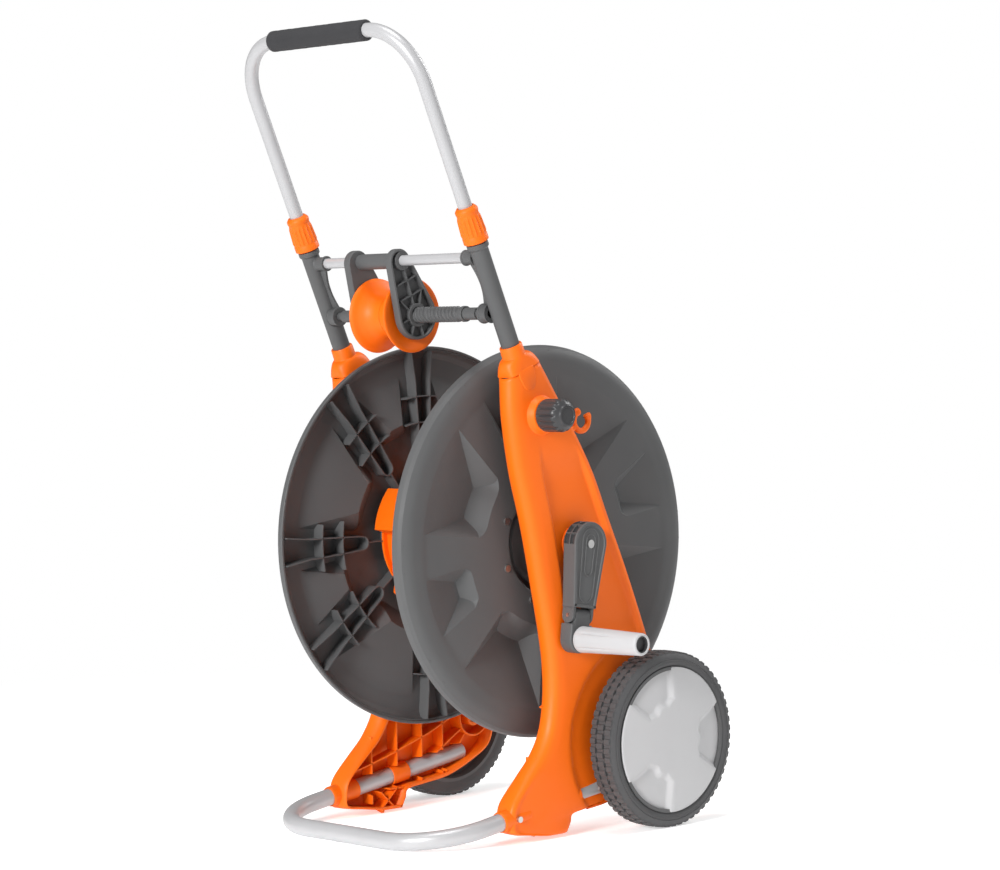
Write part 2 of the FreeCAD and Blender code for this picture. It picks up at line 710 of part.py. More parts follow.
def make_drum():
    """The drum between the flanges, the hollow shaft stubs and the water way inside."""
    radius = cell("drum_radius")
    inner = radius - cell("drum_wall")
    width = cell("flange_gap")
    shell = less(
        cylinder(radius, width, (0, 0, 0), Z_TO_X),
        cylinder(inner, width, (0, 0, 0), Z_TO_X),
        box(56, 60, 34, (30, -radius - 18, -40)),
    )
    keep("drum_core", place(shell, (-half_gap, 0, reel_height)))
    shaft = cell("shaft_radius")
    overlap = 30
    keep("crank_shaft", cylinder(shaft, crank_back - half_gap + overlap, (half_gap - overlap, 0, reel_height),
                                 Z_TO_X))
    bore = cell("pipe_bore_radius")
    elbow_half = 9
    elbow_x = 57 - half_gap
    pipe = ring(shaft, bore, plate_outer + elbow_x - elbow_half - 1, (-plate_outer, 0, reel_height), Z_TO_X)
    keep("inlet_pipe", pipe)
    outlet_bore = bore - 1.5
    branch = inner - cell("outlet_length")
    side = (shaft + 1) * 2
    elbow = less(
        joined(box(side, side, side, (-elbow_half, -side / 2, -side / 2)),
               cylinder(bore + 2, branch, (0, 0, 0), OUTLET_TURN)),
        cylinder(bore, elbow_half * 2, (-elbow_half, 0, 0), Z_TO_X),
        cylinder(outlet_bore, branch, (0, 0, 0), OUTLET_TURN),
    )
    keep("water_elbow", place(elbow, (elbow_x, 0, reel_height)))
    spigot = ring(bore + 1.5, outlet_bore, cell("outlet_length"))
    angle = cell("outlet_angle")
    spot = (elbow_x, -branch * cosine(angle), reel_height - branch * sine(angle))
    keep("hose_outlet", place(spigot, spot, OUTLET_TURN))


def make_reel_fasteners():
    """Eight screws that hold each flange to the drum, drawn as one group of separate solids."""
    screws = []
    count = 8
    seat = half_gap + cell("spoke_depth")
    for step in range(count):
        angle = as_size(FULL_TURN / count * (step + 0.5))
        y, z = turned_point(cell("flange_screw_circle"), angle)
        for sign in (1, -1):
            turn = Rotation(Vector(0, 1, 0), 90 * sign)
            screws.append(cylinder(cell("flange_screw_radius"), 3, (sign * seat, y, reel_height + z), turn))
    group = document.addObject("Part::Compound", "FlangeScrews")
    group.Links = screws
    keep("flange_screws", group)


def make_reel_bushes():
    """The plain bearings in the side plates that carry the reel."""
    shaft = cell("shaft_radius")
    bush = ring(shaft + cell("bush_wall"), shaft + running_fit, cell("plate_depth") - 4,
                (plate_inner + 1, 0, reel_height), Z_TO_X)
    keep_pair("reel_bush", bush)


# ---- crank ------------------------------------------------------------------------------------

def make_crank():
    """The crank arm on the reel's shaft, with a slot in its face and a forked lower end."""
    depth = cell("crank_depth")
    head = cell("crank_head_radius")
    tip = cell("crank_tip_radius")
    split = cell("crank_length") - cell("crank_fold_height")
    knuckle = depth / 2 - 1
    lug = cell("fold_lug_width")
    low = split - knuckle - free_gap
    body = new_body("CrankWeb")
    sketch = new_sketch(body, "YZ_Plane")
    draw_outline(sketch, [(1 - head, 0), (-tip - 1, -low), (tip + 1, -low), (head - 1, 0)])
    pad(body, sketch, depth)
    lugs = []
    for side in (-tip, tip - lug):
        lugs.append(cylinder(knuckle, lug, (knuckle, side, -split), Y_UP))
        lugs.append(box(2 * knuckle, lug, knuckle + 2, (0, side, -split)))
    slot_border = 6
    slot_start = 18
    arm = less(
        joined(body, cylinder(head, depth, (0, 0, 0), Z_TO_X), *lugs),
        box(4, 2 * (tip - slot_border), split - slot_start - 16,
            (depth - 4, slot_border - tip, slot_start - split)),
        cylinder(5, 6, (depth - 6, 0, 0), Z_TO_X),
        cylinder(cell("fold_pin_radius"), 2 * tip, (knuckle, -tip, -split), Y_UP),
    )
    keep("crank_arm", place(arm, (crank_back, 0, reel_height), CRANK_TURN))
    keep("crank_screw", cylinder(4.8, 5, (crank_face - 5, 0, reel_height), Z_TO_X))
    pin_y, pin_z = along_crank(split)
    start = (crank_back + knuckle, pin_y - tip * cosine(swing), pin_z + tip * sine(swing))
    keep("crank_fold_pin", cylinder(cell("fold_pin_radius"), 2 * tip, start, CRANK_TURN.multiply(Y_UP)))


def make_crank_end():
    """The folding end of the crank, hinged in the arm's fork, with the grip's pin and the grip."""
    depth = cell("crank_depth")
    tip = cell("crank_tip_radius")
    length = cell("crank_length")
    split = length - cell("crank_fold_height")
    knuckle = depth / 2 - 1
    half_tongue = tip - cell("fold_lug_width") - free_gap
    pin = cell("grip_pin_radius")
    pin_seat = 4
    block = joined(
        cylinder(knuckle, 2 * half_tongue, (knuckle, -half_tongue, -split), Y_UP),
        box(2 * knuckle, 2 * half_tongue, knuckle + 1, (0, -half_tongue, -split - knuckle - 1)),
        box(2 * knuckle, 2 * tip, length - split - knuckle - free_gap, (0, -tip, -length)),
        cylinder(tip, 2 * knuckle, (0, 0, -length), Z_TO_X),
    )
    socket = less(block, cylinder(pin, depth * 2, (pin_seat, 0, -length), Z_TO_X),
                  cylinder(cell("fold_pin_radius") + running_fit, 2 * tip, (knuckle, -tip, -split), Y_UP))
    keep("crank_tip", place(socket, (crank_back, 0, reel_height), CRANK_TURN))
    grip_y, grip_z = along_crank(length)
    grip_length = cell("grip_length")
    floor = grip_length - cell("grip_mouth_depth")
    grip_start = depth - 2 + free_gap
    head_start = grip_start - pin_seat + floor + free_gap
    steel = joined(cylinder(pin, head_start, (0, 0, 0), Z_TO_X),
                   cylinder(cell("grip_head_radius"), 3, (head_start, 0, 0), Z_TO_X))
    keep("grip_pin", place(steel, (crank_back + pin_seat, grip_y, grip_z)))
    grip_tip = cell("grip_tip_radius")
    mouth = cell("grip_mouth_radius")
    profile = [(0, pin + running_fit), (0, cell("grip_radius")), (grip_length - 3, grip_tip),
               (grip_length, grip_tip - 2), (grip_length, mouth), (floor, mouth), (floor, pin + running_fit)]
    keep("crank_grip", place(revolved("CrankGrip", profile), (crank_back + grip_start, grip_y, grip_z)))


# ---- clamp knobs ------------------------------------------------------------------------------

def make_knobs():
    """The fluted knob and threaded stud that clamp each post's tube in its side plate."""
    knob_y, knob_z = along_post(-cell("knob_drop"))
    length = cell("knob_length")
    radius = cell("knob_radius")
    stud = cell("stud_radius")
    stud_in_knob = length - 12
    body = revolved("Knob", [(0, stud), (0, radius - 1), (1, radius), (length - 8, radius - 0.5),
                             (length - 1, radius - 7), (length, radius - 7.5), (length, 0), (stud_in_knob, 0),
                             (stud_in_knob, stud)])
    flute = new_sketch(body, "XY_Plane", radius + 1)
    draw_outline(flute, slot(4, length - 8, 1.6))
    cut = pocket(body, flute, 3.4)
    repeated(body, cut, FLUTES)
    keep_pair("clamp_knob", place(body, (knob_x, knob_y, knob_z)))
    stud_start = post_x - 4
    keep_pair("clamp_stud", cylinder(stud, knob_x - stud_start + 20, (stud_start, knob_y, knob_z), Z_TO_X))
    boss_depth = knob_x - plate_outer - 0.5
    boss = ring(17, stud + cell("bolt_fit"), boss_depth, (plate_outer, knob_y, knob_z), Z_TO_X)
    keep_pair("knob_boss", boss)


# ---- wheels -----------------------------------------------------------------------------------

def make_wheels():
    """The axle, and on each side a tyre, a disc with a hub, an outer cover and a locking ring."""
    axle = cell("axle_radius")
    radius = cell("wheel_radius")
    rim = cell("rim_radius")
    width = cell("tyre_width")
    cover_seat = 9
    bore = axle + running_fit
    keep("wheel_axle", cylinder(axle, (tyre_outer - 8) * 2, (8 - tyre_outer, axle_y, axle_z), Z_TO_X))
    tyre = revolved("Tyre", [(0, rim - 2), (0, radius - 7), (3, radius - 2.5), (8, radius - 1),
                             (width / 2, radius), (width - 8, radius - 1), (width - 3, radius - 2.5),
                             (width, radius - 7), (width, rim - 2)])
    keep_pair("tyre", place(tyre, (tyre_inner, axle_y, axle_z)))
    hub = axle + cell("wheel_hub_wall")
    disc = revolved("WheelDisc", [(2, bore), (2, hub), (width / 2 - 4, hub), (width / 2 - 4, rim - 6),
                                  (1, rim - 6), (1, rim - 2), (width - 1, rim - 2), (width - 1, rim - 6),
                                  (width / 2 + 2, rim - 6), (width / 2 + 2, hub), (width - cover_seat, hub),
                                  (width - cover_seat, bore)])
    keep_pair("wheel_disc", place(disc, (tyre_inner, axle_y, axle_z)))
    cover = revolved("WheelCover", [(0, 0), (0, rim - 3), (2, rim - 2), (5, rim - 6), (4, 0)])
    keep_pair("wheel_cover", place(cover, (tyre_outer - 0.5, axle_y, axle_z)))
    clip = ring(axle + 3.5, axle, 2.5, (tyre_outer - cover_seat + 0.3, axle_y, axle_z), Z_TO_X)
    keep_pair("axle_clip", clip)


# ---- foot, water inlet and fasteners ----------------------------------------------------------

def make_foot():
    """The bent foot tube, which lies on the floor in front and runs back into both side plates."""
    leg = cell("foot_reach") + cell("foot_depth")
    inner = foot_radius - cell("tube_wall")
    tube = u_tube("FootTube", foot_x, leg, cell("foot_corner"), foot_radius, inner)
    keep("foot_tube", place(tube, (0, -cell("foot_reach"), foot_radius), FOOT_TURN))


def make_inlet():
    """The quick-connect water inlet on the outside of the left side plate."""
    bore = cell("pipe_bore_radius") - 2
    radius = cell("inlet_radius")
    length = cell("inlet_length")
    neck = radius - 1.7
    body = revolved("WaterInlet", [
        (0, bore), (0, 16), (6, 16), (6, radius + 2), (9, radius + 2), (9, radius), (14, radius), (15, neck),
        (18, neck), (19, radius), (length - 1, radius), (length, radius - 1), (length, bore),
    ])
    to_left = Rotation(Vector(0, 0, 1), 180)
    face = -plate_outer - free_gap
    keep("water_inlet", place(body, (face, 0, reel_height), to_left))
    seal = document.addObject("Part::Torus", "Seal")
    bind(seal, "Radius1", radius - 0.6)
    bind(seal, "Radius2", 1)
    keep("inlet_seal", place(seal, (face - 16.5, 0, reel_height), Z_TO_X))


def make_hose_clip():
    """The open clip that parks the end of the hose, on an arm square to the plate's rear edge."""
    width = cell("clip_width")
    ring_radius = cell("clip_radius")
    reach = cell("clip_reach")
    high_y, high_z = rear_edge_top(0)
    low_y, low_z = rear_edge_middle(0)
    run_y = high_y - low_y
    run_z = high_z - low_z
    length = root(run_y * run_y + run_z * run_z)
    centre_y = low_y + run_y * CLIP_PLACE + run_z / length * reach
    centre_z = low_z + run_z * CLIP_PLACE - run_y / length * reach
    square_to_edge = math.degrees(math.atan2(-run_y.number, run_z.number))
    clip = less(
        joined(ring(ring_radius, cell("clip_bore_radius"), width, (0, 0, 0), Z_TO_X),
               box(width, reach - ring_radius + 2, width, (0, -reach, -width / 2))),
        box(width + 10, ring_radius, ring_radius, (-5, 2, -ring_radius)),
    )
    keep("hose_clip", place(clip, (plate_inner + 8, centre_y, centre_z),
                            Rotation(Vector(1, 0, 0), square_to_edge)))


def make_foot_screws():
    """The screws that fix the foot tube in both plates, as one group of separate solids."""
    screws = []
    for sign in (1, -1):
        turn = Rotation(Vector(0, 1, 0), 90 * sign)
        for distance in (120, 250):
            y, z = along_foot(distance)
            screws.append(cylinder(cell("foot_screw_radius"), 3, (sign * plate_outer, y, z), turn))
    group = document.addObject("Part::Compound", "FootScrews")
    group.Links = screws
    keep("foot_screws", group)


def check_and_write():
    """Stop on any failed feature or bad shape, then write one STEP file for each sub-part."""
    document.recompute()
    for thing in document.Objects:
        if "Invalid" in thing.State or "Error" in thing.State:
            raise RuntimeError(f"{thing.Name} ({thing.Label}) failed: {thing.State}")
    for piece in pieces:
        if piece.Shape.isNull() or not piece.Shape.isValid():
            raise RuntimeError(f"{piece.Label} has no valid shape")
    os.makedirs("parts", exist_ok=True)
    for piece in pieces:
        piece.Shape.exportStep(f"parts/{piece.Label}.step")
    print(len(pieces), "sub-parts written")


make_side_plate()
make_post_cap()
make_posts()
make_lock_nuts()
make_handle()
make_guide_rails()
make_carriage()
make_pulley()
make_flanges()
make_drum()
make_reel_fasteners()
make_reel_bushes()
make_crank()
make_crank_end()
make_knobs()
make_wheels()
make_foot()
make_inlet()
make_hose_clip()
make_foot_screws()
check_and_write()
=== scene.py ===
import json
import math

import bmesh
import bpy
import numpy as np
from mathutils import Matrix, Vector


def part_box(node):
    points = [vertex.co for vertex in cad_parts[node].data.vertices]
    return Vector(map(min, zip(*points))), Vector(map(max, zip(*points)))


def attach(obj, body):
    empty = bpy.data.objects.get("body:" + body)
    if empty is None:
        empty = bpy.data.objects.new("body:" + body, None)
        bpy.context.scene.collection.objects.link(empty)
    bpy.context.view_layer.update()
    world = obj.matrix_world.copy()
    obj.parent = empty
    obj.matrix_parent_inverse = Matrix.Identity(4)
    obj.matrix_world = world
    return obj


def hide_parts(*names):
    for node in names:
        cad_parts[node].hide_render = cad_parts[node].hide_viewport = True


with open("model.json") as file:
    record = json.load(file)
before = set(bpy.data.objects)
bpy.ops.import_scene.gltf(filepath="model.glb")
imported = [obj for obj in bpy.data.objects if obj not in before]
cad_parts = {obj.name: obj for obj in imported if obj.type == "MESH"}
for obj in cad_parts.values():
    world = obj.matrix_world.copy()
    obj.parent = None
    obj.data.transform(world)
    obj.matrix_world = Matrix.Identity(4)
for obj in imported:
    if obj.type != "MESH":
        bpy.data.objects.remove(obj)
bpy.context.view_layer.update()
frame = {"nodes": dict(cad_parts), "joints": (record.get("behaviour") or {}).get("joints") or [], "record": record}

# A garden hose reel cart.  Metres; +X is the crank side, +Y the wheel side, +Z up.

MILLIMETRE = 0.001
MERGE_DISTANCE = 1e-6
TAU = 2 * math.pi


# ---- camera, light and floor ------------------------------------------------------------------

VIEW_AZIMUTH = 47.07
VIEW_ELEVATION = 2.33
VIEW_ROLL = -0.99
VIEW_DISTANCE = 3.654
VIEW_TARGET = Vector((0, 0, 0.43))
VIEW_NUDGE = (0.0012, -0.0008)
LENS = 112.56
LENS_SHIFT = (0.0181, 0.0195)
SKY_LIGHT = 0.22
FLOOR_GLOW = 0.5
KEY_POWER = 210
SIDE_POWER = 12
BACK_POWER = 70
TOP_POWER = 80


def add_camera():
    """A long lens at hub height, turned about the cart and rolled a little."""
    turn = math.radians(VIEW_AZIMUTH)
    rise = math.radians(VIEW_ELEVATION)
    roll = math.radians(VIEW_ROLL)
    right = Vector((math.cos(turn), math.sin(turn), 0))
    back = Vector((math.sin(turn) * math.cos(rise), -math.cos(turn) * math.cos(rise), math.sin(rise)))
    up = back.cross(right)
    place = VIEW_TARGET + right * VIEW_NUDGE[0] + up * VIEW_NUDGE[1] + back * VIEW_DISTANCE
    across = right * math.cos(roll) + up * math.sin(roll)
    upward = up * math.cos(roll) - right * math.sin(roll)
    data = bpy.data.cameras.new("camera")
    data.lens = LENS
    data.shift_x, data.shift_y = LENS_SHIFT
    data.clip_end = 100
    camera = bpy.data.objects.new("camera", data)
    bpy.context.scene.collection.objects.link(camera)
    axes = Matrix((across, upward, back)).transposed().to_4x4()
    camera.matrix_world = Matrix.Translation(place) @ axes
    bpy.context.scene.camera = camera


def add_area_light(name, place, size, power):
    """A round soft light that faces the middle of the cart."""
    data = bpy.data.lights.new(name, "AREA")
    data.shape = "DISK"
    data.size = size
    data.energy = power
    light = bpy.data.objects.new(name, data)
    light.location = place
    light.rotation_euler = (Vector((0, 0, 0.4)) - Vector(place)).to_track_quat("-Z", "Y").to_euler()
    bpy.context.scene.collection.objects.link(light)


def add_studio():
    """A pale floor that turns plain white away from the cart, a white sky that lights less than it
    shows, and soft lights round the cart."""
    scene = bpy.context.scene
    scene.view_settings.view_transform = "Standard"
    add_sky()
    add_area_light("key_light", (1.1, -4.3, 1.7), 1.2, KEY_POWER)
    add_area_light("side_light", (4.2, 0.4, 2.0), 1.6, SIDE_POWER)
    add_area_light("back_light", (0.6, 3.4, 2.6), 2.0, BACK_POWER)
    add_area_light("top_light", (0.3, -0.6, 4.2), 1.6, TOP_POWER)
    reach = 40
    data = bpy.data.meshes.new("floor")
    data.from_pydata([(-reach, -reach, 0), (reach, -reach, 0), (reach, reach, 0), (-reach, reach, 0)],
                     [], [(0, 1, 2, 3)])
    floor = bpy.data.objects.new("floor", data)
    bpy.context.scene.collection.objects.link(floor)
    floor.data.materials.append(pale_floor())


def add_sky():
    """White where it is looked at, and dimmer as a source of light."""
    world = bpy.data.worlds.new("studio")
    world.use_nodes = True
    tree = world.node_tree
    path = tree.nodes.new("ShaderNodeLightPath")
    level = tree.nodes.new("ShaderNodeMapRange")
    level.inputs["To Min"].default_value = SKY_LIGHT
    level.inputs["To Max"].default_value = 1.0
    tree.links.new(path.outputs["Is Camera Ray"], level.inputs["Value"])
    background = tree.nodes["Background"]
    background.inputs["Color"].default_value = (1, 1, 1, 1)
    tree.links.new(level.outputs["Result"], background.inputs["Strength"])
    bpy.context.scene.world = world


def pale_floor():
    """White paint near the cart that takes soft shadows, and even white light further away."""
    paint = Paint("pale_floor")
    paint.set(("Base Color", (0.9, 0.9, 0.9, 1)), ("Roughness", 0.7), ("Emission Color", (1, 1, 1, 1)),
              ("Emission Strength", FLOOR_GLOW))
    distance = paint.node("ShaderNodeVectorMath", {"operation": "LENGTH"}, {0: paint.place()}, output=1)
    glow = paint.node("ShaderNodeEmission", None, {"Strength": 1.0})
    far = paint.ramp(distance * 0.1, (0.06, 0), (0.17, 1))
    shown = paint.node("ShaderNodeMixShader", None,
                       {0: far, 1: Wire(paint, paint.surface.outputs[0]), 2: glow})
    output = paint.tree.nodes["Material Output"]
    paint.tree.links.new(shown.socket, output.inputs["Surface"])
    return paint.material


# ---- shader maths -----------------------------------------------------------------------------

class Wire:
    """One output socket of a material's node tree; arithmetic on it adds Math nodes."""

    def __init__(self, paint, socket):
        self.paint = paint
        self.socket = socket

    def maths(self, operation, *values):
        """One Math node on the given values."""
        sockets = {index: value for index, value in enumerate(values)}
        return self.paint.node("ShaderNodeMath", {"operation": operation}, sockets)

    def __add__(self, other):
        return self.maths("ADD", self, other)

    def __sub__(self, other):
        return self.maths("SUBTRACT", self, other)

    def __rsub__(self, other):
        return self.maths("SUBTRACT", other, self)

    def __mul__(self, other):
        return self.maths("MULTIPLY", self, other)

    def __truediv__(self, other):
        return self.maths("DIVIDE", self, other)

    __radd__ = __add__
    __rmul__ = __mul__


class Paint:
    """A material with one Principled surface."""

    def __init__(self, name):
        self.material = bpy.data.materials.new(name)
        self.material.use_nodes = True
        self.tree = self.material.node_tree
        self.surface = self.tree.nodes["Principled BSDF"]

    def node(self, kind, settings=None, inputs=None, output=0):
        """A new node: its settings first, then its sockets' values or links; gives one output."""
        node = self.tree.nodes.new(kind)
        for name, value in (settings or {}).items():
            if name == "stops":
                set_stops(node.color_ramp, value)
            else:
                setattr(node, name, value)
        for name, value in (inputs or {}).items():
            self.feed(node.inputs[name], value)
        return Wire(self, node.outputs[output])

    def feed(self, socket, value):
        """Link a wire to the socket, or give it a plain value."""
        if isinstance(value, Wire):
            self.tree.links.new(value.socket, socket)
        else:
            socket.default_value = value

    def set(self, *pairs):
        """Feed the surface's sockets, given as (name, value)."""
        for name, value in pairs:
            self.feed(self.surface.inputs[name], value)

    def place(self):
        """Object coordinates, in metres."""
        return self.node("ShaderNodeTexCoord", output="Object")

    def noise(self, scale, detail=2.0, stretch=(1, 1, 1), roughness=0.5):
        """Noise of the given scale per metre, squeezed along the axes by stretch."""
        mapping = self.node("ShaderNodeMapping", None, {"Vector": self.place(), "Scale": stretch})
        return self.node("ShaderNodeTexNoise", None,
                         {"Vector": mapping, "Scale": scale, "Detail": detail, "Roughness": roughness})

    def ramp(self, value, *stops):
        """The value spread between grey levels, given as (place, level)."""
        return self.node("ShaderNodeValToRGB", {"stops": stops}, {"Fac": value})

    def blend(self, factor, first, second):
        """A colour between two colours."""
        return self.node("ShaderNodeMix", {"data_type": "RGBA"},
                         {0: factor, 6: first, 7: second}, output=2)

    def bump(self, height, strength, distance):
        """A surface normal tilted by a height."""
        return self.node("ShaderNodeBump", None,
                         {"Height": height, "Strength": strength, "Distance": distance})


def set_stops(ramp, stops):
    """Give a colour ramp its stops, each (place, grey level)."""
    for index, (place, level) in enumerate(stops):
        element = ramp.elements[index] if index < 2 else ramp.elements.new(place)
        element.position = place
        element.color = (level, level, level, 1)


# ---- materials --------------------------------------------------------------------------------

def moulded_plastic(name, colour, shade, roughness, grain, grain_scale=2600):
    """Moulded plastic: faint clouding of the colour, uneven gloss and a fine grain."""
    paint = Paint(name)
    cloud = paint.noise(14, 3)
    fine = paint.noise(grain_scale, 2)
    wear = paint.ramp(paint.noise(60, 4, roughness=0.65), (0.42, 0), (0.72, 1))
    paint.set(
        ("Base Color", paint.blend(cloud, (*colour, 1), (*shade, 1))),
        ("Roughness", wear * 0.10 + fine * 0.06 + roughness),
        ("Specular IOR Level", 0.3),
        ("Normal", paint.bump(fine, grain, 0.0002)),
    )
    return paint.material


def satin_tube(name, colour):
    """Drawn and lacquered tube: fine lines along it and a soft metal sheen."""
    paint = Paint(name)
    lines = paint.noise(900, 3, (1, 1, 0.06))
    cloud = paint.noise(25, 3)
    paint.set(
        ("Base Color", paint.blend(cloud, (*colour, 1), tuple(level * 0.9 for level in colour) + (1,))),
        ("Metallic", 0.2),
        ("Roughness", lines * 0.12 + cloud * 0.08 + 0.26),
        ("Normal", paint.bump(lines, 0.03, 0.0002)),
    )
    return paint.material


def foam_rubber(name, colour):
    """Closed-cell foam: small round cells and a dull, slightly mottled skin."""
    paint = Paint(name)
    cells = paint.node("ShaderNodeTexVoronoi", None, {"Vector": paint.place(), "Scale": 900})
    cloud = paint.noise(60, 4)
    paint.set(
        ("Base Color", paint.blend(cloud, (*colour, 1), tuple(level * 1.5 for level in colour) + (1,))),
        ("Roughness", cloud * 0.15 + 0.8),
        ("Normal", paint.bump(cells, 0.5, 0.0006)),
    )
    return paint.material


def plated_steel(name):
    """Zinc plated steel, a little clouded."""
    paint = Paint(name)
    cloud = paint.noise(220, 4)
    paint.set(
        ("Base Color", paint.blend(cloud, (0.50, 0.50, 0.50, 1), (0.66, 0.66, 0.64, 1))),
        ("Metallic", 1.0),
        ("Roughness", cloud * 0.25 + 0.25),
    )
    return paint.material


def make_materials():
    """Every finish on the cart, by the record's slot names."""
    finishes = {
        "orange_plastic": (moulded_plastic, (0.90, 0.150, 0.002), (0.88, 0.138, 0.002), 0.42, 0.15),
        "dark_grey_plastic": (moulded_plastic, (0.100, 0.101, 0.102), (0.084, 0.085, 0.087), 0.45, 0.35),
        "light_grey_plastic": (moulded_plastic, (0.48, 0.48, 0.485), (0.45, 0.45, 0.46), 0.42, 0.12),
        "black_plastic": (moulded_plastic, (0.050, 0.050, 0.052), (0.042, 0.042, 0.044), 0.25, 0.06),
        "bearing_plastic": (moulded_plastic, (0.70, 0.69, 0.64), (0.66, 0.64, 0.60), 0.4, 0.1),
        "silver_tube": (satin_tube, (0.47, 0.47, 0.48)),
        "zinc_steel": (plated_steel,),
        "foam": (foam_rubber, (0.022, 0.022, 0.024)),
        "tyre": (moulded_plastic, (0.075, 0.075, 0.077), (0.062, 0.062, 0.064), 0.55, 0.5),
        "seal_rubber": (moulded_plastic, (0.02, 0.02, 0.02), (0.015, 0.015, 0.015), 0.6, 0.2),
    }
    return {name: make(name, *look) for name, (make, *look) in finishes.items()}


def slot_of(node):
    """The record's material slot of a CAD node."""
    return next(entry["material_slot"] for entry in frame["record"]["subparts"] if entry["node"] == node)


def dress_cad_nodes():
    """Give every CAD node the finish of its slot."""
    for node, thing in frame["nodes"].items():
        thing.data.materials.clear()
        thing.data.materials.append(finishes[slot_of(node)])


add_camera()
add_studio()
finishes = make_materials()
dress_cad_nodes()


# ---- places read from the frame, in millimetres ------------------------------------------------

def place_of(name):
    """A joint's place, as a numpy array in millimetres."""
    return np.array(joints[name]["pos_m"]) / MILLIMETRE


def node_box(node):
    """Lowest and highest corners of a CAD node, in millimetres."""
    low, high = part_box(node)
    return np.array(low) / MILLIMETRE, np.array(high) / MILLIMETRE


joints = {joint["name"]: joint for joint in frame["joints"]}
X_AXIS = np.array((1.0, 0.0, 0.0))
POST_AXIS = np.array(joints["handle_slide"]["axis"])
FORWARD = np.cross(X_AXIS, POST_AXIS)
CRANK_ACROSS = np.array(joints["crank_fold"]["axis"])
CRANK_DOWN = np.cross(X_AXIS, CRANK_ACROSS) * -1

reel_middle = place_of("reel_spin")
wheel_middle = place_of("right_wheel_spin")
knob_middle = place_of("right_knob_turn")
NUT_HEIGHT = 150
post_foot = place_of("right_nut_turn") - NUT_HEIGHT * POST_AXIS
flange_low, flange_high = node_box("right_flange")
plate_low, plate_high = node_box("right_side_plate")
tyre_low, tyre_high = node_box("right_tyre")
crank_low, crank_high = node_box("crank_arm")
flange_radius = (flange_high[2] - flange_low[2]) / 2
wheel_radius = (tyre_high[2] - tyre_low[2]) / 2
plate_inner = plate_low[0]
plate_outer = plate_high[0]
reel_z = reel_middle[2]


# ---- surfaces -----------------------------------------------------------------------------------

class Piece:
    """One piece, gathered in millimetres from closed shells of quads."""

    def __init__(self):
        self.points = []
        self.faces = []
        self.count = 0

    def sheet(self, grid, wrap_rows=False, wrap_columns=False):
        """Quads between the neighbours of a grid of points, given as rows x columns x 3."""
        rows, columns = grid.shape[:2]
        numbers = np.arange(rows * columns).reshape(rows, columns) + self.count
        if wrap_rows:
            numbers = np.vstack([numbers, numbers[:1]])
        if wrap_columns:
            numbers = np.hstack([numbers, numbers[:, :1]])
        corners = (numbers[:-1, :-1], numbers[1:, :-1], numbers[1:, 1:], numbers[:-1, 1:])
        self.faces += np.stack(corners, axis=-1).reshape(-1, 4).tolist()
        self.points.append(grid.reshape(-1, 3))
        self.count += rows * columns
        return self

    def tube(self, grid):
        """A run of closed sections, each a row of the grid, with a flat face on both ends."""
        columns = grid.shape[1]
        first = self.count
        self.sheet(grid, wrap_columns=True)
        self.faces.append(list(range(first, first + columns)))
        self.faces.append(list(range(self.count - columns, self.count)))
        return self

    def lathe(self, profile, origin, axis=X_AXIS, columns=96, flute=None, closed=True):
        """A profile turned about an axis; a closed one makes a ring."""
        return self.sheet(turned(profile, origin, axis, columns, flute), wrap_rows=closed, wrap_columns=True)

    def mesh(self, name, side=1):
        """The gathered points as one mesh in metres, seams merged and faces outwards."""
        points = np.vstack(self.points) * (side, 1, 1) * MILLIMETRE
        data = bpy.data.meshes.new(name)
        data.from_pydata(points, [], self.faces)
        shell = bmesh.new()
        shell.from_mesh(data)
        bmesh.ops.remove_doubles(shell, verts=shell.verts, dist=MERGE_DISTANCE)
        bmesh.ops.dissolve_degenerate(shell, edges=shell.edges, dist=MERGE_DISTANCE)
        bmesh.ops.recalc_face_normals(shell, faces=shell.faces)
        shell.to_mesh(data)
        shell.free()
        return data

    def finish(self, name, body, slot, *nodes, side=1, crease=38):
        """Make the object, smooth below the crease angle, and give it a body, a finish and its nodes."""
        thing = bpy.data.objects.new(name, self.mesh(name, side))
        bpy.context.scene.collection.objects.link(thing)
        thing.data.shade_smooth()
        thing.data.set_sharp_from_angle(angle=math.radians(crease))
        thing.data.materials.append(finishes[slot])
        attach(thing, body)
        if nodes:
            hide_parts(*nodes)
        return thing


def both_sides(make):
    """Run a maker for the crank side and for its mirror image."""
    for side, word in ((1, "right"), (-1, "left")):
        make(side, word)


def softened(points, radius, closed=False, steps=5):
    """The outline with each corner replaced by a curve: (1-t)^2 A + 2t(1-t) B + t^2 C, where A and C
    lie on the two sides at the given distance from the corner B, or at most half a side away."""
    corners = np.array(points, float)
    reach = np.broadcast_to(np.asarray(radius, float), len(corners))
    before = np.roll(corners, 1, axis=0) - corners
    after = np.roll(corners, -1, axis=0) - corners
    long_before = np.linalg.norm(before, axis=1)
    long_after = np.linalg.norm(after, axis=1)
    cut_before = np.minimum(reach, long_before * 0.5)[:, None]
    cut_after = np.minimum(reach, long_after * 0.5)[:, None]
    start = corners + before / np.maximum(long_before, 1e-9)[:, None] * cut_before
    end = corners + after / np.maximum(long_after, 1e-9)[:, None] * cut_after
    t = np.linspace(0, 1, steps)[None, :, None]
    curve = (1 - t) ** 2 * start[:, None] + 2 * t * (1 - t) * corners[:, None] + t ** 2 * end[:, None]
    if closed:
        return curve.reshape(-1, corners.shape[1])
    inner = curve[1:-1].reshape(-1, corners.shape[1])
    return np.vstack([corners[:1], inner, corners[-1:]])


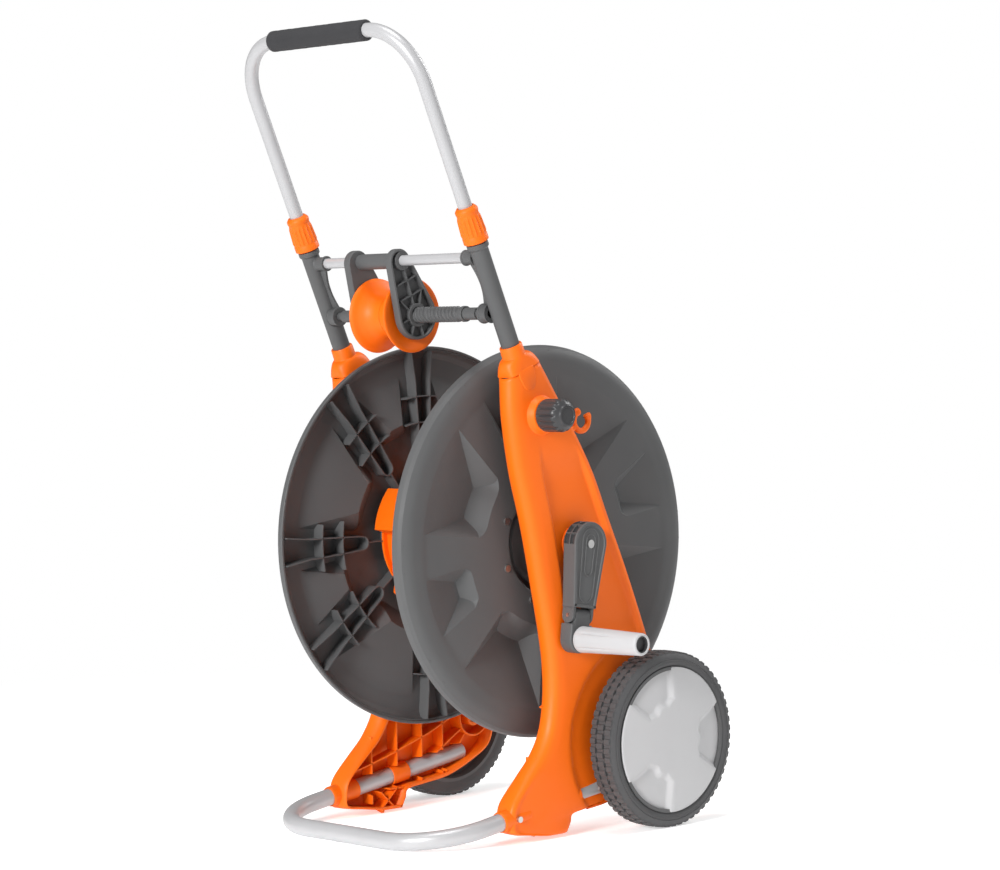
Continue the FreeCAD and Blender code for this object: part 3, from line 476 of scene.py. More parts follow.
def smooth_line(points, count):
    """A Catmull-Rom curve through the points, at evenly spaced parameters: on each span it is
    P1 + t(P2-P0)/2 + t^2(2P0-5P1+4P2-P3)/2 + t^3(3P1-P0-3P2+P3)/2."""
    knots = np.array(points, float)
    padded = np.vstack([2 * knots[0] - knots[1], knots, 2 * knots[-1] - knots[-2]])
    along = np.linspace(0, len(knots) - 1, count)
    span = np.minimum(along.astype(int), len(knots) - 2)
    t = (along - span)[:, None]
    p0, p1, p2, p3 = (padded[span + shift] for shift in range(4))
    return (p1 + t * (p2 - p0) / 2 + t ** 2 * (2 * p0 - 5 * p1 + 4 * p2 - p3) / 2
            + t ** 3 * (3 * p1 - p0 - 3 * p2 + p3) / 2)


def soft_step(value, low, high):
    """0 below low, 1 above high, and 3t^2 - 2t^3 between."""
    t = np.clip((value - low) / (high - low), 0, 1)
    return t * t * (3 - 2 * t)


def turned(profile, origin, axis=X_AXIS, columns=96, flute=None):
    """A surface of revolution: origin + s axis + r (cos a u + sin a v) for each (s, r) of the
    profile; flute(s, r, a) may change the radius with the angle."""
    axis = np.asarray(axis, float)
    u = np.cross(axis, X_AXIS)
    if np.linalg.norm(u) < 0.01:
        u = np.array((0.0, 1.0, 0.0))
    u = u / np.linalg.norm(u)
    v = np.cross(axis, u)
    profile = np.array(profile, float)
    angle = np.linspace(0, TAU, columns, endpoint=False)[None, :]
    s = profile[:, :1]
    r = profile[:, 1:] + 0 * angle
    if flute:
        r = flute(s, r, angle)
    ring = np.cos(angle)[..., None] * u + np.sin(angle)[..., None] * v
    return np.asarray(origin, float) + s[..., None] * axis + r[..., None] * ring


def about_x(x, radius, angle, middle):
    """Points at the given x, and at (r cos a, r sin a) from the middle's (y, z)."""
    y = middle[1] + radius * np.cos(angle)
    z = middle[2] + radius * np.sin(angle)
    return np.stack(np.broadcast_arrays(x, y, z), axis=-1)


def swept_round(path, radius, columns=24):
    """Circles of the given radius square to a path that lies in one plane: at each point the path's
    direction t and the plane's normal n give u = t x n and v = t x u, and the circle is
    cos a u + sin a v.  A straight path takes a normal square to X."""
    path = np.array(path, float)
    direction = np.gradient(path, axis=0)
    direction /= np.linalg.norm(direction, axis=1)[:, None]
    plane = np.cross(path[0] - path[len(path) // 2], path[-1] - path[len(path) // 2])
    if np.linalg.norm(plane) < 1:
        plane = np.cross(direction[0], X_AXIS)
    u = np.cross(direction, plane / np.linalg.norm(plane))
    u /= np.linalg.norm(u, axis=1)[:, None]
    v = np.cross(direction, u)
    angle = np.linspace(0, TAU, columns, endpoint=False)
    ring = np.cos(angle)[None, :, None] * u[:, None] + np.sin(angle)[None, :, None] * v[:, None]
    return path[:, None] + np.asarray(radius, float) * ring


def upright(outline, levels, across=np.array((0, 1, 0)), along=np.array((0, 0, 1)), origin=(0, 0, 0)):
    """Closed sections of one outline at several depths: each level is (x, inset), and the outline,
    given as (across, along) points, is drawn in by the inset along its own normals."""
    flat = np.array(outline, float)
    tangent = np.roll(flat, -1, axis=0) - np.roll(flat, 1, axis=0)
    tangent /= np.maximum(np.linalg.norm(tangent, axis=1), 1e-9)[:, None]
    turn = np.sum(flat[:, 0] * np.roll(flat[:, 1], -1) - flat[:, 1] * np.roll(flat[:, 0], -1))
    inward = np.stack([-tangent[:, 1], tangent[:, 0]], axis=1) * np.sign(turn)
    levels = np.array(levels, float)
    moved = flat[None] + inward[None] * levels[:, 1, None, None]
    x = levels[:, 0, None, None] * X_AXIS
    return np.asarray(origin, float) + x + moved[..., :1] * across + moved[..., 1:] * along


def wall(path, thickness, low, high):
    """A thin upright rib: for each (y, z) of the path a section of four points, half the thickness
    to each side of the path, from x = low to x = high."""
    path = np.array(path, float)
    direction = np.gradient(path, axis=0)
    direction /= np.linalg.norm(direction, axis=1)[:, None]
    aside = np.stack([-direction[:, 1], direction[:, 0]], axis=1) * thickness / 2
    low = np.broadcast_to(np.asarray(low, float), len(path))
    high = np.broadcast_to(np.asarray(high, float), len(path))
    section = []
    for x, shift in ((low, aside), (high, aside * 0.7), (high, -aside * 0.7), (low, -aside)):
        section.append(np.column_stack([x, path + shift]))
    return np.stack(section, axis=1)


def rounded_levels(back, face, radius, steps=6):
    """Levels of a slab from back to face whose outer edge is rounded: inset = R(1 - cos a) and
    x = face - R(1 - sin a), with a flat lid drawn in to the middle."""
    angle = np.linspace(0, math.pi / 2, steps)
    x = face - radius * (1 - np.sin(angle))
    inset = radius * (1 - np.cos(angle))
    return np.column_stack([np.r_[back, x], np.r_[0, inset]])


# ---- reel ---------------------------------------------------------------------------------------

SPOKE_FACE = 15
POCKET_OUTER = 190
POCKET_DEPTH = 18
WALL_SLOPE = 0.85
FLANGE_SKIN = 2.5
SPOKE_HALF_ANGLE = 7.5
HUB_RING = 60
POCKETS = ((155, 19.5, 96), (200, 10.5, 122))
FLOOR_SLOPE = POCKET_DEPTH / (POCKET_OUTER - 119)


def pocket_columns():
    """Angles round one quarter of a flange, with the pocket that each is in: for each angle the
    distance in from that pocket's side (nil on a spoke) and the radius of the pocket's inner end."""
    spoke = 7
    angles = []
    inset = []
    inner = []
    for (middle, half, end), (_, _, other_end), count in ((*POCKETS, 32), (*POCKETS[::-1], 20)):
        across = np.linspace(-half, half, count)
        angles.append(middle + across)
        inset.append(half - np.abs(across))
        inner.append(end + 12 * (np.abs(across) / half) ** 6)
        gap = np.linspace(0, 15, spoke)[1:-1]
        angles.append(middle + half + gap)
        inset.append(0 * gap)
        inner.append(end + 12 + (other_end - end) * gap / 15)
    return np.concatenate(angles), np.concatenate(inset), np.concatenate(inner)


def flange_rows():
    """Radius and depth below the spokes' face over a flange, rows from the hub out to the rim.

    In a pocket the floor sinks as k (R - r) from the rim in, a side wall as s r sin(a) from the
    pocket's side, and the inner wall as s (r - e) from its inner end; the depth is the least of the
    three.  Rows are placed on the creases where two of them meet, so that the creases stay sharp."""
    angle, inset, end = pocket_columns()
    angle = np.concatenate([angle + quarter * 90 for quarter in range(4)])
    inset = np.radians(np.tile(inset, 4))
    end = np.tile(end, 4)
    k = FLOOR_SLOPE
    s = WALL_SLOPE
    side = s * np.sin(inset)
    floor_meets_side = POCKET_OUTER * k / (side + k)
    floor_meets_end = (POCKET_OUTER * k + s * end) / (s + k)
    side_meets_end = end / np.maximum(1 - np.sin(inset), 0.2)
    first = np.minimum(side_meets_end, floor_meets_end)
    second = np.maximum(floor_meets_side, floor_meets_end)
    rows = []
    for start, stop, count in ((end, first, 6), (first, second, 10), (second, POCKET_OUTER + 0 * end, 8)):
        share = np.linspace(0, 1, count)[:, None]
        rows.append(start + (stop - start) * share)
    radius = np.vstack(rows)
    depth = np.minimum(np.minimum(k * (POCKET_OUTER - radius), side * radius), s * (radius - end))
    return angle, radius, np.maximum(depth, 0)


def make_flange(side, word):
    """A moulded disc: one thin wall that follows its pockets on both faces, a crowned rim with a lip,
    a stepped hub, and ribs in the channels behind the spokes."""
    angle, radius, depth = flange_rows()
    columns = len(angle)
    face = [(5, 11), (5, 44), (7.5, 45), (7.5, 50), (5, 51), (5, HUB_RING - 2), (SPOKE_FACE - 1.5, HUB_RING),
            (SPOKE_FACE, HUB_RING + 2), (SPOKE_FACE, 75)]
    rim = [(SPOKE_FACE + 0.9, 193.5), (15.6, 199), (16, 205), (15.6, 211), (14.2, 216.5), (11.6, 221),
           (8, 223.9), (4, 225), (0.8, 225), (0, 224.3), (0, 222.4), (2.6, 222), (2.6, 219.8), (5.5, 219.4),
           (9.4, 217), (12.2, 211), (12.6, 205), (12.2, 199), (SPOKE_FACE - 2.4, 193.5)]
    back = [(SPOKE_FACE - FLANGE_SKIN, 75), (SPOKE_FACE - FLANGE_SKIN, HUB_RING + 4), (2, HUB_RING),
            (2, 11)]
    fixed = [np.array(part, float)[:, :, None] + np.zeros(columns) for part in (face, rim, back)]
    x = np.vstack([fixed[0][:, 0], SPOKE_FACE - depth, fixed[1][:, 0],
                   (SPOKE_FACE - FLANGE_SKIN - depth)[::-1], fixed[2][:, 0]])
    r = np.vstack([fixed[0][:, 1], radius, fixed[1][:, 1], radius[::-1], fixed[2][:, 1]])
    turn = np.radians(angle)[None, :]
    grid = about_x(x + flange_low[0], r, turn, reel_middle)
    piece = Piece().sheet(grid, wrap_rows=True, wrap_columns=True)
    for quarter in range(4):
        for middle, half, _ in POCKETS:
            add_channel_ribs(piece, math.radians(middle + half + 7.5 + 90 * quarter))
    piece.finish(f"{word}_moulded_flange", "reel", "dark_grey_plastic", f"{word}_flange", side=side,
                 crease=20)


def add_channel_ribs(piece, angle):
    """In one channel: two rails that draw together and join in a half circle, two cross ribs that
    follow circles about the hub, and a single rib on to the hub."""
    outward = np.array((math.cos(angle), math.sin(angle)))
    across = np.array((-math.sin(angle), math.cos(angle)))
    centre = reel_middle[1:]
    low = flange_low[0] - 3
    high = flange_low[0] + SPOKE_FACE - FLANGE_SKIN + 0.6
    k = FLOOR_SLOPE
    bend = np.linspace(math.pi / 2, -math.pi / 2, 13)
    half_width = 8
    u_end = np.column_stack([104 - half_width * np.cos(bend), half_width * np.sin(bend)])
    rails = np.vstack([[(219, 16), (183, 11.5), (166, 11), (135, 9.5)], u_end,
                       [(135, -9.5), (166, -11), (183, -11.5), (219, -16)]])
    piece.tube(wall(centre + rails[:, :1] * outward + rails[:, 1:] * across, 1.8, high, low))
    for radius, reach in ((166, 0.165), (135, 0.21)):
        turn = np.linspace(-reach, reach, 9)
        arc = radius * (np.cos(turn)[:, None] * outward + np.sin(turn)[:, None] * across)
        into_pocket = np.maximum(np.abs(turn) - math.radians(SPOKE_HALF_ANGLE), 0)
        sunk = np.minimum(k * (POCKET_OUTER - radius), WALL_SLOPE * radius * np.sin(into_pocket))
        piece.tube(wall(centre + arc, 1.6, high - sunk, low))
    single = np.linspace(96, 66, 4)[:, None] * outward
    piece.tube(wall(centre + single, 1.8, high, low))


DRUM_HIGH = 88
DRUM_LOW = 68
DRUM_END = 1.5


def make_drum():
    """The drum: radius = low + (high - low) m, where m is 1 over four wide lobes that stand in line
    with the large pockets and falls to 0 in the steps between them."""
    count = 240
    angle = np.linspace(0, TAU, count, endpoint=False)
    from_lobe = np.abs((np.degrees(angle) - POCKETS[0][0] + 45) % 90 - 45)
    lobe = 1 - soft_step(from_lobe, 18, 19.6)
    radius = DRUM_LOW + (DRUM_HIGH - DRUM_LOW) * lobe
    end = flange_low[0] + DRUM_END
    levels = np.array([(-end, 0.93), (-end + 4, 0.99), (-end + 6, 1),
                       (end - 6, 1), (end - 4, 0.99), (end, 0.93)])
    r = levels[:, 1:] * radius
    x = levels[:, :1] + 0 * radius
    grid = about_x(x, r, angle, reel_middle)
    piece = Piece().tube(grid)
    for edge in (-flange_low[0] + 1, flange_low[0] - 4):
        lip = [(edge, DRUM_LOW), (edge, DRUM_LOW + 6), (edge + 3, DRUM_LOW + 6), (edge + 3, DRUM_LOW)]
        piece.lathe(lip, (0, *reel_middle[1:]), columns=120)
    piece.finish("lobed_drum", "reel", "orange_plastic", "drum_core", crease=30)


# ---- wheels -------------------------------------------------------------------------------------

TREAD_BLOCKS = 60


def make_tyre(side, word):
    """A tyre whose three rows of blocks stand up where a square wave of the angle is high; the
    middle row is half a block out of step, and the shoulders stay smooth."""
    width = tyre_high[0] - tyre_low[0]
    rim = 84
    per_block = 8
    columns = TREAD_BLOCKS * per_block
    angle = np.linspace(0, TAU, columns, endpoint=False)[None, :]
    rows = [(1, rim, 0), (0.3, rim + 4, 0), (0, wheel_radius - 9, 0), (1.2, wheel_radius - 5, 0),
            (3.5, wheel_radius - 3.2, 0), (4, wheel_radius - 2.2, 1), (12, wheel_radius - 1.7, 1),
            (12.4, wheel_radius - 3, 0), (14, wheel_radius - 3, 0), (14.4, wheel_radius - 1.6, 2),
            (width - 14.4, wheel_radius - 1.6, 2), (width - 14, wheel_radius - 3, 0),
            (width - 12.4, wheel_radius - 3, 0), (width - 12, wheel_radius - 1.7, 1),
            (width - 4, wheel_radius - 2.2, 1), (width - 3.5, wheel_radius - 3.2, 0),
            (width - 1.8, wheel_radius - 5, 0), (width - 0.4, wheel_radius - 8.4, 0),
            (width - 0.8, wheel_radius - 9.4, 0), (width, wheel_radius - 10.4, 0),
            (width, rim + 4.5, 0), (width - 0.8, rim + 2.6, 0), (width - 2.5, rim, 0)]
    rows = np.array(rows, float)
    wave = (angle * TREAD_BLOCKS / TAU) % 1
    shifted = (wave + 0.5) % 1
    outer_row = (wave > 0.12) & (wave < 0.7)
    middle_row = (shifted > 0.12) & (shifted < 0.7)
    kind = rows[:, 2:]
    lift = 1.6 * ((kind == 1) & outer_row | (kind == 2) & middle_row)
    r = np.minimum(rows[:, 1:2] + lift, wheel_radius)
    x = rows[:, :1] + tyre_low[0] + 0 * angle
    grid = about_x(x, r, angle, wheel_middle)
    piece = Piece().sheet(grid, wrap_rows=True, wrap_columns=True)
    piece.finish(f"{word}_tread_tyre", f"{word}_wheel", "tyre", f"{word}_tyre", side=side, crease=30)


COVER_RADIUS = 84
COVER_EDGE = 7
COVER_POCKETS = (118, -2, 238)


def make_wheel_cover(side, word):
    """A slightly domed disc with three sunken windows open to the rim.  The dome is c (1 - (r/R)^2)
    high; a window sinks by the least of a slope from its sides and a slope from its inner end."""
    half = 29
    inner_end = 39
    depth = 6
    slope = 0.8
    angles = []
    inset = []
    for index, middle in enumerate(sorted(COVER_POCKETS)):
        across = np.linspace(-half, half, 40)
        angles.append(middle + across)
        inset.append(half - np.abs(across))
        following = sorted(COVER_POCKETS)[(index + 1) % 3] + (360 if index == 2 else 0)
        gap = np.linspace(middle + half, following - half, 16)[1:-1]
        angles.append(gap)
        inset.append(0 * gap)
    angle = np.radians(np.concatenate(angles))[None, :]
    inset = np.radians(np.concatenate(inset))[None, :]
    edge = COVER_RADIUS - 1.5
    r = np.concatenate([np.linspace(0, inner_end - 3, 7), np.linspace(inner_end - 2, inner_end + 12, 15),
                        np.linspace(inner_end + 14, edge, 16)])[:, None]
    from_side = r * np.sin(inset)
    from_edge = np.degrees(inset)
    round_end = inner_end + 7 * (1 - soft_step(from_edge, 0, 16)) + 2.5 * soft_step(from_edge, 16, 27)
    sink = np.clip(np.minimum(slope * from_side, slope * (r - round_end)), 0, depth)
    sink = depth * soft_step(sink, -0.4, depth + 0.4) * (sink > 0)
    dome = 4.5 * (1 - (r / COVER_RADIUS) ** 2)
    outer_face = tyre_high[0] - 0.2
    x = outer_face + dome - sink * 0.8
    ring_r = r + 0 * angle
    edge_rows = np.array([(1.0, COVER_RADIUS - 0.3), (2.5, COVER_RADIUS), (COVER_EDGE, COVER_RADIUS)])
    below = edge_rows[:, :1]
    rolled = np.minimum(outer_face - below, x[-1:] - below * 0.5)
    x = np.vstack([x, rolled, np.full((1, angle.size), outer_face - COVER_EDGE)])
    ring_r = np.vstack([ring_r, edge_rows[:, 1:] + 0 * angle, np.zeros((1, angle.size))])
    grid = about_x(x, ring_r, angle, wheel_middle)
    piece = Piece().sheet(grid, wrap_columns=True)
    piece.finish(f"{word}_windowed_cover", f"{word}_wheel", "light_grey_plastic", f"{word}_wheel_cover",
                 side=side, crease=50)


both_sides(make_flange)
make_drum()
both_sides(make_tyre)
both_sides(make_wheel_cover)


# ---- side plates --------------------------------------------------------------------------------

FLANGE_TO_FLOOR = reel_z - flange_radius
PLATE_WALL = 3
SHELL_INNER = plate_inner + 12
FRONT_ROUND = 17
FRONT_DROP = 14
LIP_ROUND = 13
REAR_ROUND = 9
POST_TUBE_RADIUS = 9.2
FOOT_RADIUS = 10
FOOT_SLOPE = math.radians(9)
foot_low, foot_high = node_box("foot_tube")
FOOT_X = foot_high[0] - FOOT_RADIUS
foot_axis = np.array((0, math.cos(FOOT_SLOPE), math.sin(FOOT_SLOPE)))
foot_start = np.array((FOOT_X, foot_low[1] + FOOT_RADIUS, FOOT_RADIUS))


def from_post(along, forward=0, outward=0):
    """A point on the post's axis, moved forward square to it and outward along X."""
    return post_foot + along * POST_AXIS + forward * FORWARD + outward * X_AXIS


def plate_edges(rows):
    """The plate's front and rear edges from the floor up, as matching (y, z) points."""
    axle_y, axle_z = wheel_middle[1:]
    waist = FLANGE_TO_FLOOR
    top = from_post(-22.2, 25)[1:]
    top_rear = from_post(-22.2, -26)[1:]
    front = [(-52, 3.6), (-80, 7.5), (-107, 12.5), (-110, 28), (-105, 46), (-84, 71), (-62, waist - 12),
             (-47, waist + 14), (-40, waist + 50), (-40, waist + 88), (-45, waist + 124), (-56, reel_z - 46),
             (-71, reel_z + 24), (-87, reel_z + 84), (-97, reel_z + 145), top]
    rear = [(-19, 3.6), (-13, 15), (-8, 25), (20, 29), (56, 34), (axle_y - 8, 48), (axle_y + 24, 68),
            (axle_y + 32, axle_z + 4), (axle_y + 31, axle_z + 40), (axle_y + 25, axle_z + 82),
            (axle_y + 9, reel_z - 104), (84, reel_z - 38), (55, reel_z + 26), (29, reel_z + 83),
            (-8, reel_z + 143), top_rear]
    return smooth_line(front, rows), smooth_line(rear, rows)


def plate_face(y, z, from_front, from_rear):
    """Depth of the face below its highest level: a slight crown, the sunken panel that widens
    downwards round the crank, and the arch round the wheel."""
    width = from_front + from_rear
    crown = 2.2 * ((from_front - from_rear) / width) ** 2
    above = z - reel_z
    left_limit = 30 + 0.02 * above
    panel = soft_step(from_front, left_limit, left_limit + 8) * soft_step(from_rear, 9, 15)
    panel = panel * (1 - soft_step(above, 70, 116)) * soft_step(above, -128, -92)
    to_axle = np.hypot(y - wheel_middle[1], z - wheel_middle[2])
    arch = 1 - soft_step(to_axle, 112, 119)
    inner_arch = 1 - soft_step(to_axle, 60, 104)
    return crown + 5.4 * panel + 4.2 * arch + 1.5 * inner_arch


def make_side_plate(side, word):
    """The face runs from the front edge to the rear edge.  At the front it turns down through a
    quarter ellipse and then back in through another, like a nose; at the rear it turns down through
    a quarter circle and goes straight on to the open back.  The wall is thickened inwards."""
    rows = 160
    front, rear = plate_edges(rows)
    span = rear - front
    width = np.linalg.norm(span, axis=1)[:, None]
    quarter = np.linspace(0, math.pi / 2, 9)[None, :]
    open_depth = plate_outer - SHELL_INNER
    full = 0.4 + 0.6 * soft_step(front[:, 1:], 38, 90)
    front_round = np.minimum(FRONT_ROUND * full, width * 0.3)
    rear_round = np.minimum(REAR_ROUND, width * 0.2)
    lip = LIP_ROUND * full
    across_lip = lip * (1 - np.sin(quarter[:, :-1]))
    drop_lip = FRONT_DROP * full + (open_depth - FRONT_DROP * full) * np.cos(quarter[:, :-1])
    across_front = front_round * (1 - np.cos(quarter))
    drop_front = FRONT_DROP * full * (1 - np.sin(quarter))
    across_rear = width - rear_round * (1 - np.cos(quarter[:, ::-1]))
    drop_rear = rear_round * (1 - np.sin(quarter[:, ::-1]))
    middle = np.linspace(0, 1, 50)[None, 1:-1]
    across_middle = front_round + (width - front_round - rear_round) * middle
    across = np.hstack([across_lip, across_front, across_middle, across_rear, width])
    drop = np.hstack([drop_lip, drop_front, 0 * across_middle, drop_rear, 0 * width + open_depth])
    place = front[:, None] + span[:, None] * (across / width)[..., None]
    inside = np.minimum(soft_step(across, 4, 14), soft_step(width - across, 0, 6))
    inside[:, :across_lip.shape[1]] = 0
    sink = plate_face(place[..., 0], place[..., 1], across, width - across) * inside
    edge_row = np.minimum(np.arange(rows), 6)[:, None] / 6
    rolled = 4 * (1 - np.sqrt(1 - (1 - edge_row) ** 2))
    x = np.maximum(plate_outer - drop - sink - rolled * (drop < open_depth - 5), SHELL_INNER)
    grid = np.concatenate([x[..., None], place], axis=-1)
    skirt = grid[:1].copy()
    skirt[..., 0] = SHELL_INNER
    shell = Piece().sheet(np.vstack([skirt, grid]))
    thing = shell.finish(f"{word}_plate_shell", "chassis", "orange_plastic", f"{word}_side_plate",
                         side=side, crease=50)
    modifier = thing.modifiers.new("thickness", "SOLIDIFY")
    modifier.thickness = PLATE_WALL * MILLIMETRE
    modifier.offset = -1
    add_plate_inside(side, word)


def rib_lines():
    """The ribs behind a plate, each a list of (y, z) points."""
    axle_y, axle_z = wheel_middle[1:]
    waist = FLANGE_TO_FLOOR
    ladder = [[(11 * step - 74, reel_z + 118 - 60 * step), (25 * step - 8, reel_z + 122 - 60 * step)]
              for step in range(5)]
    lower = [[(-96, 52), (-40, 66), (30, 88), (axle_y - 22, axle_z + 8)],
             [(-60, 24), (-20, 44), (40, 62), (axle_y - 20, axle_z - 14)],
             [(-22, 26), (-22, waist + 60)], [(18, 30), (18, waist + 70)], [(52, 37), (52, waist + 100)],
             [(-62, 12), (-62, waist - 14)],
             [(-48, 4), (-24, 26)], [(-26, 4), (-50, 26)], [(-74, 27), (-12, 27)],
             [(-40, waist + 40), (20, waist + 66), (axle_y + 14, waist + 92)],
             [(axle_y - 40, axle_z + 60), (axle_y + 26, axle_z + 40)],
             [(axle_y - 44, 38), (axle_y - 14, axle_z - 20)], [(axle_y + 14, axle_z - 20), (axle_y + 26, 74)]]
    return ladder + lower


def add_plate_inside(side, word):
    """Ribs, bearing bosses and the sleeve for the foot tube behind the plate's face."""
    piece = Piece()
    back = SHELL_INNER + 4
    front = plate_outer - 9
    for line in rib_lines():
        line = np.array(line, float)
        steps = np.linalg.norm(np.diff(line, axis=0), axis=1)
        along = np.r_[0, np.cumsum(steps)]
        fine = np.linspace(0, along[-1], max(4, int(along[-1] / 2.5)))
        path = np.column_stack([np.interp(fine, along, line[:, 0]), np.interp(fine, along, line[:, 1])])
        to_tube = np.abs((path - foot_start[1:]) @ np.array((-math.sin(FOOT_SLOPE), math.cos(FOOT_SLOPE))))
        to_post = np.abs((path - post_foot[1:]) @ FORWARD[1:])
        over_a_tube = (to_tube < FOOT_RADIUS + 2) | (to_post < POST_TUBE_RADIUS + 2)
        piece.tube(wall(path, 2.2, front, np.where(over_a_tube, front - 0.5, back)))
    sleeve = softened([(0, FOOT_RADIUS + 0.3), (0, FOOT_RADIUS + 2), (26, FOOT_RADIUS + 2),
                       (26, FOOT_RADIUS + 0.3)], 0.6, closed=True)
    piece.lathe(sleeve, foot_start + 196 * foot_axis, foot_axis, columns=48)
    collar = softened([(0, FOOT_RADIUS + 0.2), (0, FOOT_RADIUS + 1.4), (2, FOOT_RADIUS + 2),
                       (40, FOOT_RADIUS + 2), (40, FOOT_RADIUS + 0.2)], 0.5, closed=True)
    piece.lathe(collar, foot_start + 101 * foot_axis, foot_axis, columns=64)
    for middle, outer, inner in ((reel_middle, 20, 14), (wheel_middle, 24, 22), (wheel_middle, 11, 7)):
        profile = softened([(SHELL_INNER + 1, inner), (SHELL_INNER + 1, outer), (front + 5, outer),
                            (front + 5, inner)], 0.8, closed=True)
        origin = (0, middle[1], middle[2])
        piece.lathe(profile, origin, columns=72)
    piece.finish(f"{word}_plate_ribs", "chassis", "orange_plastic", side=side)


# ---- caps on the plates -------------------------------------------------------------------------

def rounded_box_ring(half_across, half_along, corner, count=72):
    """A superellipse ring: (a cos^p t, b sin^p t), where the power p falls from 1 (an ellipse)
    towards 0 (a box) as the corner gets sharper."""
    t = np.linspace(0, TAU, count, endpoint=False)
    cosine, sine = np.cos(t), np.sin(t)
    return np.stack([half_across * np.sign(cosine) * np.abs(cosine) ** corner,
                     half_along * np.sign(sine) * np.abs(sine) ** corner], axis=-1)


def make_cap(side, word):
    """The cap: rings that go from the plate's rectangle up through a rounded shoulder, where the
    size follows sqrt(1 - q^2.4), to the collar that the post stands in."""
    levels = []
    for q in np.linspace(0, 1, 12):
        share = math.sqrt(max(0, 1 - q ** 2.4))
        levels.append((-22 + 17 * q, 13.4 + 1.6 * share, 14 + 10 * share, -share, -1.5 * share,
                       0.36 + 0.6 * q))
    rings = [(-22.4, 13.4, 22.4, -1, -1.5, 0.36)] + levels
    rings += [(-3.5, 13.4, 13.4, 0, 0, 1), (7, 13.1, 13.1, 0, 0, 1), (8, 12.5, 12.5, 0, 0, 1),
              (8, 10.6, 10.6, 0, 0, 1), (-22.4, 10.6, 10.6, 0, 0, 1)]
    sections = []
    for along, half_x, half_f, shift_x, shift_f, corner in rings:
        ring = rounded_box_ring(half_x, half_f, corner)
        across = (ring[:, :1] + shift_x) * X_AXIS + (ring[:, 1:] + shift_f) * FORWARD
        sections.append(from_post(along) + across)
    piece = Piece().sheet(np.array(sections), wrap_rows=True, wrap_columns=True)
    tongue = softened([(-14, 4), (12, 4), (10, -16), (4, -22), (-4, -22), (-10, -16)], 6, closed=True)
    levels = rounded_levels(-4, 0.9, 0.9, 4)
    middle = from_post(-24, 2)
    middle[0] = plate_outer - 0.6
    piece.tube(upright(tongue, levels, FORWARD, POST_AXIS, middle))
    piece.finish(f"{word}_shoulder_cap", "chassis", "orange_plastic", f"{word}_post_cap", side=side,
                 crease=32)


both_sides(make_side_plate)
both_sides(make_cap)


# ---- crank --------------------------------------------------------------------------------------

ARM_HEAD = 25
ARM_LOW = 72.6
ARM_DEPTH = crank_high[0] - crank_low[0]
CRANK_LENGTH = 108
FOLD_AT = 82
crank_origin = np.array((crank_low[0], *reel_middle[1:]))


def arm_outline():
    """The arm seen from its face, as (across, down): a half circle of the head's radius, then
    straight sides that draw in to the fork."""
    bend = np.linspace(math.pi, TAU, 73)
    head = np.column_stack([ARM_HEAD * np.cos(bend), ARM_HEAD * np.sin(bend)])
    share = np.linspace(0, 1, 60)[1:, None]
    right = np.array((ARM_HEAD, 0)) + share * np.array((17 - ARM_HEAD, ARM_LOW))
    left = right[::-1] * (-1, 1)
    return np.vstack([head, right, left])


def make_crank_arm():
    """The arm's rings go up its side wall and then in over its face: a raised border, a step down
    and a flat floor.  On the front side of the head the wall is set in at six windows."""
    outline = arm_outline()
    x = np.array([0, 0.8, 1.6, 1.7, 9.0, 9.1, 10.4, 10.5, 17.4, 17.5, 18.6, 19.6, 20, 20, 18.9, 18.8])
    x = x * ARM_DEPTH / 20
    inset = np.array([1, 0.2, 0, 0, 0, 0, 0, 0, 0, 0, 0.1, 0.5, 1.3, 3.4, 4.2, 5.5])
    in_window_x = np.array([0, 0, 0, 1, 1, 0, 0, 1, 1, 0, 0, 0, 0, 0, 0, 0])
    length = np.r_[0, np.cumsum(np.linalg.norm(np.diff(outline, axis=0), axis=1))]
    pane = 13
    around = length[-1] + np.linalg.norm(outline[-1] - outline[0])
    along = np.where(length > around / 2, length - around, length) + 3.5
    in_window_y = ((along > 0) & (along < pane * 3) & ((along % pane) > 1.8)).astype(float)
    matrix = inset[:, None] + 6 * in_window_x[:, None] * in_window_y[None, :]
    rings = []
    for depth, row in zip(x, matrix):
        ring = upright(outline, [(depth, 0)], CRANK_ACROSS, CRANK_DOWN, crank_origin)[0]
        rings.append(ring + set_in(outline, row))
    piece = Piece().tube(np.array(rings))
    for low, high, half in ((-5, 56, 12.5), (-4, 30, 7)):
        piece.sheet(racetrack_rim(low, high, half), wrap_rows=True, wrap_columns=True)
    add_fork(piece, 12.2, 16, True)
    piece.finish("ribbed_crank_arm", "reel", "dark_grey_plastic", "crank_arm", crease=28)
    # Painted shade: a black prism inside the arm that shows through the six windows in place of the dark shade of
    # its hollow.
    levels = [(1, 2.6), (17.8, 2.6)]
    hollow = Piece().tube(upright(outline, levels, CRANK_ACROSS, CRANK_DOWN, crank_origin))
    hollow.finish("crank_window_painted_shade", "reel", "black_plastic")


def set_in(outline, distance):
    """Steps from an outline's points inwards along its normals, in the crank's own directions."""
    tangent = np.roll(outline, -1, axis=0) - np.roll(outline, 1, axis=0)
    tangent /= np.linalg.norm(tangent, axis=1)[:, None]
    inward = np.stack([-tangent[:, 1], tangent[:, 0]], axis=1)
    step = inward * np.asarray(distance)[:, None]
    return step[:, :1] * CRANK_ACROSS + step[:, 1:] * CRANK_DOWN


